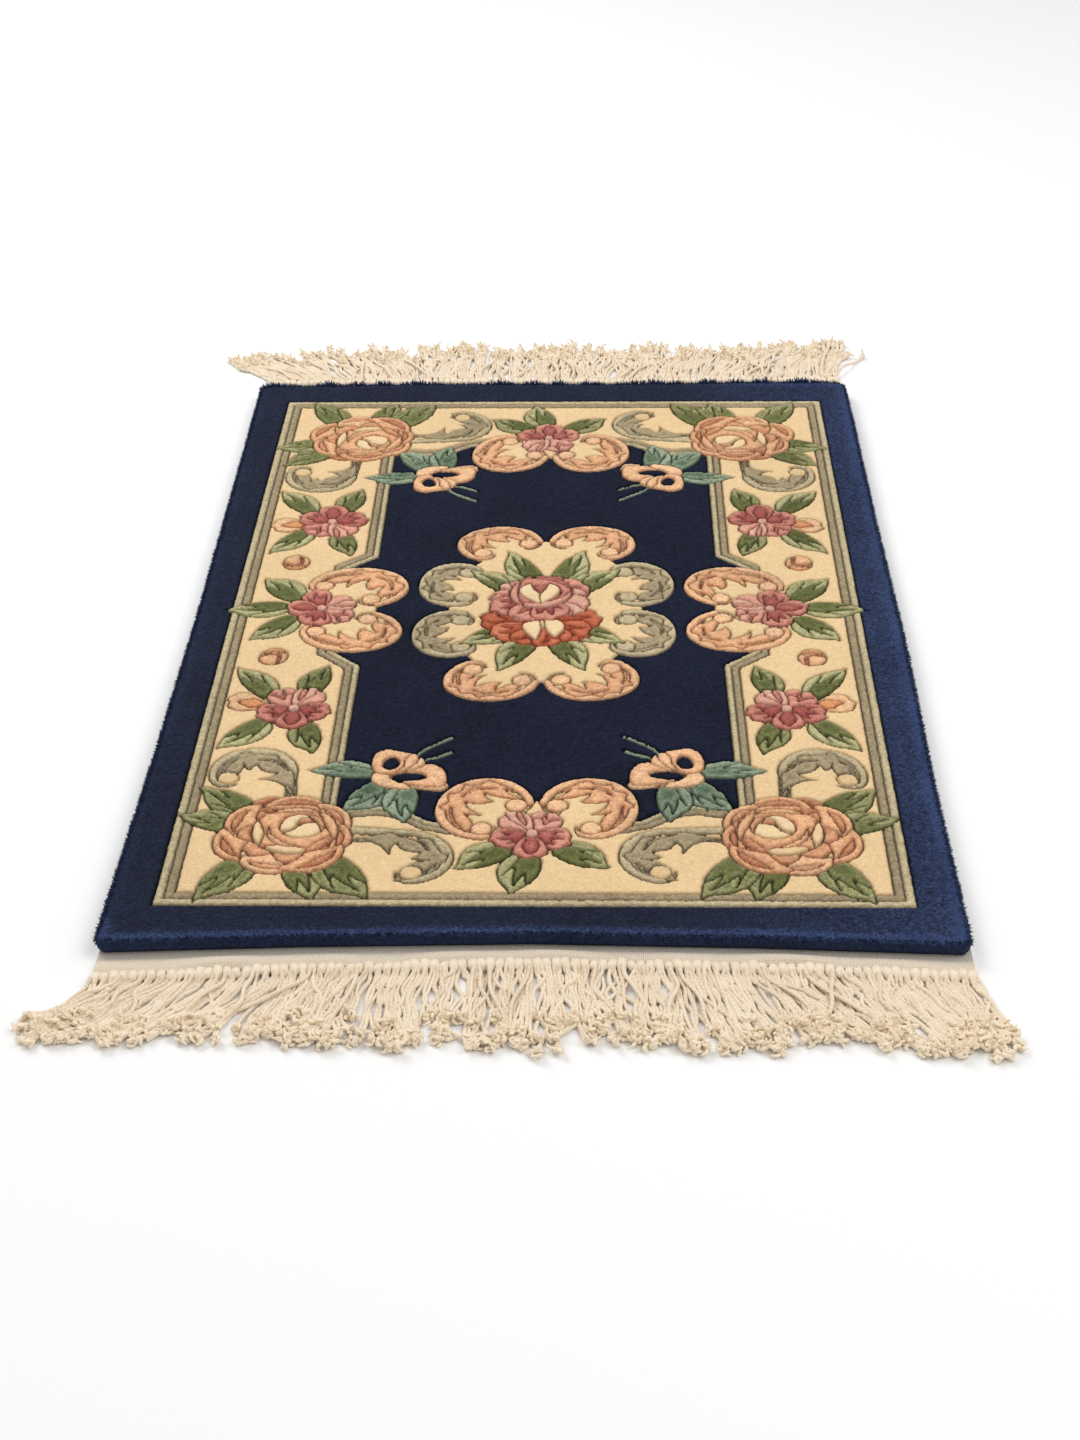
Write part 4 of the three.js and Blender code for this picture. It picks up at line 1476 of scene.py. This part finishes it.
def cordLines(look, side):
    # centrelines of one end's cords, from inside their hitches to their tips
    outwards = side["outwards"]
    xs, ys = headingLine(outwards)
    knots = np.arange(*side["knotted"], look["knotPitch"])
    knots = knots + noise.normal(0, 0.3, len(knots))
    shares = noise.choice(look["cordsPerKnot"], len(knots))
    start = np.repeat(knots, shares)
    count = len(start)
    x, leans, reaches = np.array(side["lie"]).T
    lean = np.interp(start, x, leans) * noise.uniform(*look["lean"], count)
    lean = lean + noise.normal(0, look["spread"], count)
    reach = np.interp(start, x, reaches) * (1 - look["shorter"] * noise.uniform(0, 1, count) ** 1.5)
    reach = reach * (1 + 0.04 * np.sin(start / 17 + 1) + 0.03 * np.sin(start / 7.3)) - dropAt(start, outwards)
    crossing = noise.random(count) < look["crossing"]["share"]
    lean += crossing * noise.normal(0, look["crossing"]["spread"], count)
    end = start + lean
    # neighbouring tips catch on each other and gather in clumps
    rule = look["clumps"]
    clumps = np.arange(end.min(), end.max() + 20, rule["pitch"])
    clumps = clumps + noise.uniform(-rule["stray"], rule["stray"], len(clumps))
    nearest = clumps[abs(end[:, None] - clumps[None]).argmin(1)]
    end += rule["pull"] * (nearest - end)
    end = np.clip(end, xs[0] - 40 + leans[0] * 0.1, xs[-1] + 30)
    t = np.linspace(0, 1, look["points"])[None]
    rule = look["sway"]
    sway = rule["together"] * np.sin(start / 14 + 2 * np.sin(start / 41))[:, None]
    sway = sway + noise.normal(0, rule["alone"], (count, 1))
    sway = sway * np.sin(np.pi * t * noise.uniform(0.9, 2.2, (count, 1)))
    fine = noise.normal(0, rule["fine"], (count, 1))
    sway = sway + fine * np.sin(np.pi * t * 3.6 + noise.uniform(0, 6, (count, 1)))
    first = start + noise.normal(0, 1.3, count)
    x = first[:, None] + (end - first)[:, None] * t ** look["sweepPower"] + sway * np.minimum(1, 4 * t)
    heading = np.interp(start, xs, ys)[:, None]
    y = heading + outwards * (5.5 + (reach + 3.5)[:, None] * t)
    layer = noise.integers(0, 4, (count, 1)) + look["crossing"]["lift"] * crossing[:, None]
    z = look["radius"] * (1 + 1.5 * layer * np.sin(np.pi * np.clip(t * 1.15, 0, 1)) ** 0.6)
    z = z + 2.0 * np.clip(1 - 5 * t, 0, 1)
    return np.stack([x, y, z], -1), knots


def settled(lines, look):
    # push cords apart where they overlap, and let the rest sink on the floor
    rules = look["settling"]
    starts = lines[:, :2].copy()
    for turn in range(rules["rounds"]):
        lines[:, 2:, 2] -= rules["sink"]
        lines[:, 2:-1] += rules["smoothing"] * (lines[:, 1:-2] + lines[:, 3:] - 2 * lines[:, 2:-1])
        for offset in range(1, rules["neighbours"] + 1):
            apart = lines[:-offset, :, None] - lines[offset:, None]
            distance = np.linalg.norm(apart, axis=-1) + 1e-6
            push = np.clip(rules["gap"] - distance, 0, None) / distance * rules["push"]
            shift = apart * push[..., None]
            lines[:-offset] += shift.sum(2)
            lines[offset:] -= shift.sum(1)
        lines[:, :2] = starts
        lines[..., 2] = np.maximum(lines[..., 2], look["radius"])
    return lines


def frayed(lines, look):
    # curled strands round the tip of each cord
    rule = look["strands"]
    each = rule["count"]
    tips = np.repeat(lines[:, -1], each, 0)
    back = np.repeat(lines[:, -1] - lines[:, -2], each, 0)
    count = len(tips)
    place = tips - back * noise.uniform(0, 0.6, (count, 1)) + noise.normal(0, rule["spread"], (count, 3))
    aim = np.arctan2(back[:, 1], back[:, 0]) + noise.normal(0, rule["spread"], count)
    climb = noise.normal(0.15, 0.5, count)
    turn = noise.choice([-1, 1], count) * noise.uniform(0.5, 1, count) * rule["curl"]
    roll = noise.normal(-0.1, 0.3, count)
    step = noise.uniform(*rule["length"], count) / (rule["points"] - 1)
    rows = [place]
    for _ in range(rule["points"] - 1):
        ahead = np.stack([np.cos(aim) * np.cos(climb), np.sin(aim) * np.cos(climb), np.sin(climb)], -1)
        rows.append(rows[-1] + ahead * step[:, None])
        aim = aim + turn
        climb = climb + roll
    strands = np.stack(rows, 1)
    z = strands[..., 2]
    strands[..., 2] = np.clip(z, rule["radius"] * 1.1, rule["ceiling"] + 0.2 * z)
    return strands


def stringObject(name, lines, thick, worn):
    count, points = lines.shape[:2]
    first = (np.arange(count)[:, None] * points + np.arange(points - 1)).ravel()
    mesh = bpy.data.meshes.new(name)
    mesh.from_pydata((lines.reshape(-1, 3) * mm).tolist(), np.column_stack([first, first + 1]).tolist(), [])
    setValues(mesh, "thick", "POINT", (np.broadcast_to(thick, (count, points)) * mm).ravel())
    setValues(mesh, "worn", "POINT", np.broadcast_to(worn, (count, points)).ravel())
    return linked(name, mesh)


def cottonMaterial(name, light, shadow, pitch, sheen, tint, **fixed):
    # fixed values, if any, take the place of the attribute of that name
    attributes = {label: label.lower() for label in ("Twist", "Worn") if label not in fixed}
    values = {"Light": cotton[light], "Shadow": cotton[shadow], "Pitch": pitch, **fixed}
    return fibreMaterial(name, twistedCotton, values, attributes, sheen, cotton[tint])


cordMaterial = cottonMaterial("twistedCord", "light", "shadow", 0.004, 0.25, "sheen")
tipMaterial = cottonMaterial("frayedTip", "tip", "tip", 0.0016, 0.6, "tipSheen")
hitchMaterial = cottonMaterial("hitchCotton", "light", "shadow", 0.0024, 0.25, "sheen", Worn=0.0)


def makeFringe(end, look):
    side, strand = look[end], look["strands"]
    lines, knots = cordLines(look, side)
    lines = settled(lines, look)
    t = np.linspace(0, 1, look["points"])
    swollen = np.clip((t - 0.88) / 0.12, 0, 1)
    thick = look["radius"] * (1 + 0.9 * swollen) * noise.uniform(0.88, 1.1, (len(lines), 1))
    lines[..., 2] = np.maximum(lines[..., 2], thick * 1.12)
    worn = t[None] ** 3 + noise.uniform(-1.3, 0.7, (len(lines), 1))
    cords = stringObject("fringe_" + end + "_cords", lines, thick, worn)
    grown(cords, strings, {"Sides": look["sides"], "Material": cordMaterial})
    strands = frayed(lines, look)
    taper = side["tips"] * strand["radius"] * np.array(strand["taper"])
    tips = stringObject("fringe_" + end + "_tips", strands, taper, 0.6)
    grown(tips, strings, {"Sides": strand["sides"], "Material": tipMaterial})
    away = noise.uniform(*look["knotOut"], len(knots))
    y = np.interp(knots, *headingLine(side["outwards"])) + side["outwards"] * away
    spots = np.column_stack([knots, y, np.full(len(knots), look["knotHeight"])]) * mm
    mesh = bpy.data.meshes.new("hitches")
    mesh.from_pydata(spots.tolist(), [], [])
    knotRow = linked("fringe_" + end + "_hitches", mesh)
    half = tuple(c * mm for c in look["knot"])
    grown(knotRow, hitches, {"Size": half, "Seed": 3, "Material": hitchMaterial})
    made = [cords, tips, knotRow]
    for thing in made:
        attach(thing, "root")
        print(thing.name, sum(len(face.vertices) - 2 for face in thing.data.polygons))
    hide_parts("fringe_" + end)
    return made


fringes = makeFringe("near", fringeLook) + makeFringe("far", fringeLook)


# Fuzz: loose tufts that stand out of the pile's edge

fuzzLook = {
    "wisps": 11000,
    "thickness": 0.5,
    "length": (1.5, 3.3),
    "tone": 0.75,
    "farTufts": {"from": 455, "over": 6, "longer": 1.3},     # the far edge's tufts are left longer
}


def fuzzMesh(look):
    # wisps grow from the whole side of the pile and from its rounded shoulder
    line = evenly(edge, 0.7)
    chosen = noise.integers(0, len(line), look["wisps"])
    along = np.roll(line, -1) - line
    square = (-1j * along / abs(along))[chosen]
    angle = noise.uniform(-0.35, 1.35, look["wisps"])     # from low on the side up over the shoulder
    inwards = pileLook["edge"]["reach"] * (1 - np.cos(np.clip(angle, 0, 2))) * 0.9
    drop = pileLook["top"] - pileLook["edge"]["height"]
    z = pileLook["edge"]["height"] + np.where(angle < 0, angle * 8, drop * np.sin(angle))
    spots = line[chosen] - square * (inwards + 0.6)
    lean = square * np.cos(angle) + noise.normal(0, 0.4, look["wisps"]) * 1j * square
    rise = np.sin(angle) + noise.normal(0, 0.25, look["wisps"])
    mesh = bpy.data.meshes.new("fuzz")
    mesh.from_pydata((np.column_stack([spots.real, spots.imag, z]) * mm).tolist(), [], [])
    out = np.column_stack([lean.real, lean.imag, rise]).astype(np.float32)
    mesh.attributes.new("out", "FLOAT_VECTOR", "POINT").data.foreach_set("vector", out.ravel())
    rule = look["farTufts"]
    patches = 0.5 + 0.5 * np.sin(spots.real / 7 + 3 * np.sin(spots.real / 31))
    far = np.clip((spots.imag - rule["from"]) / rule["over"], 0, 1) * patches
    setValues(mesh, "size", "POINT", 1 + rule["longer"] * far)
    return linked("pile_fuzz", mesh)


fuzz = fuzzMesh(fuzzLook)
dark, middle, light = yarns["navy"]["dyes"]
fuzzMaterial = fibreMaterial(
    "looseNavyWool", cutPile,
    {"Dark": dark, "Middle": middle, "Light": light, "Tone": fuzzLook["tone"], "Carved": 1.0},
    {}, 0.12, (0.1, 0.14, 0.3))
shortest, longest = fuzzLook["length"]
grown(fuzz, bristles, {"Thickness": fuzzLook["thickness"] * mm, "Shortest": shortest * mm,
                       "Longest": longest * mm, "Seed": 5, "Material": fuzzMaterial})
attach(fuzz, "root")
print("fuzz", len(fuzz.data.polygons))

total = sum(len(face.vertices) - 2 for thing in [weave, fuzz, *pieces.values(), *fringes]
            for face in thing.data.polygons)
print("triangles in all", total)
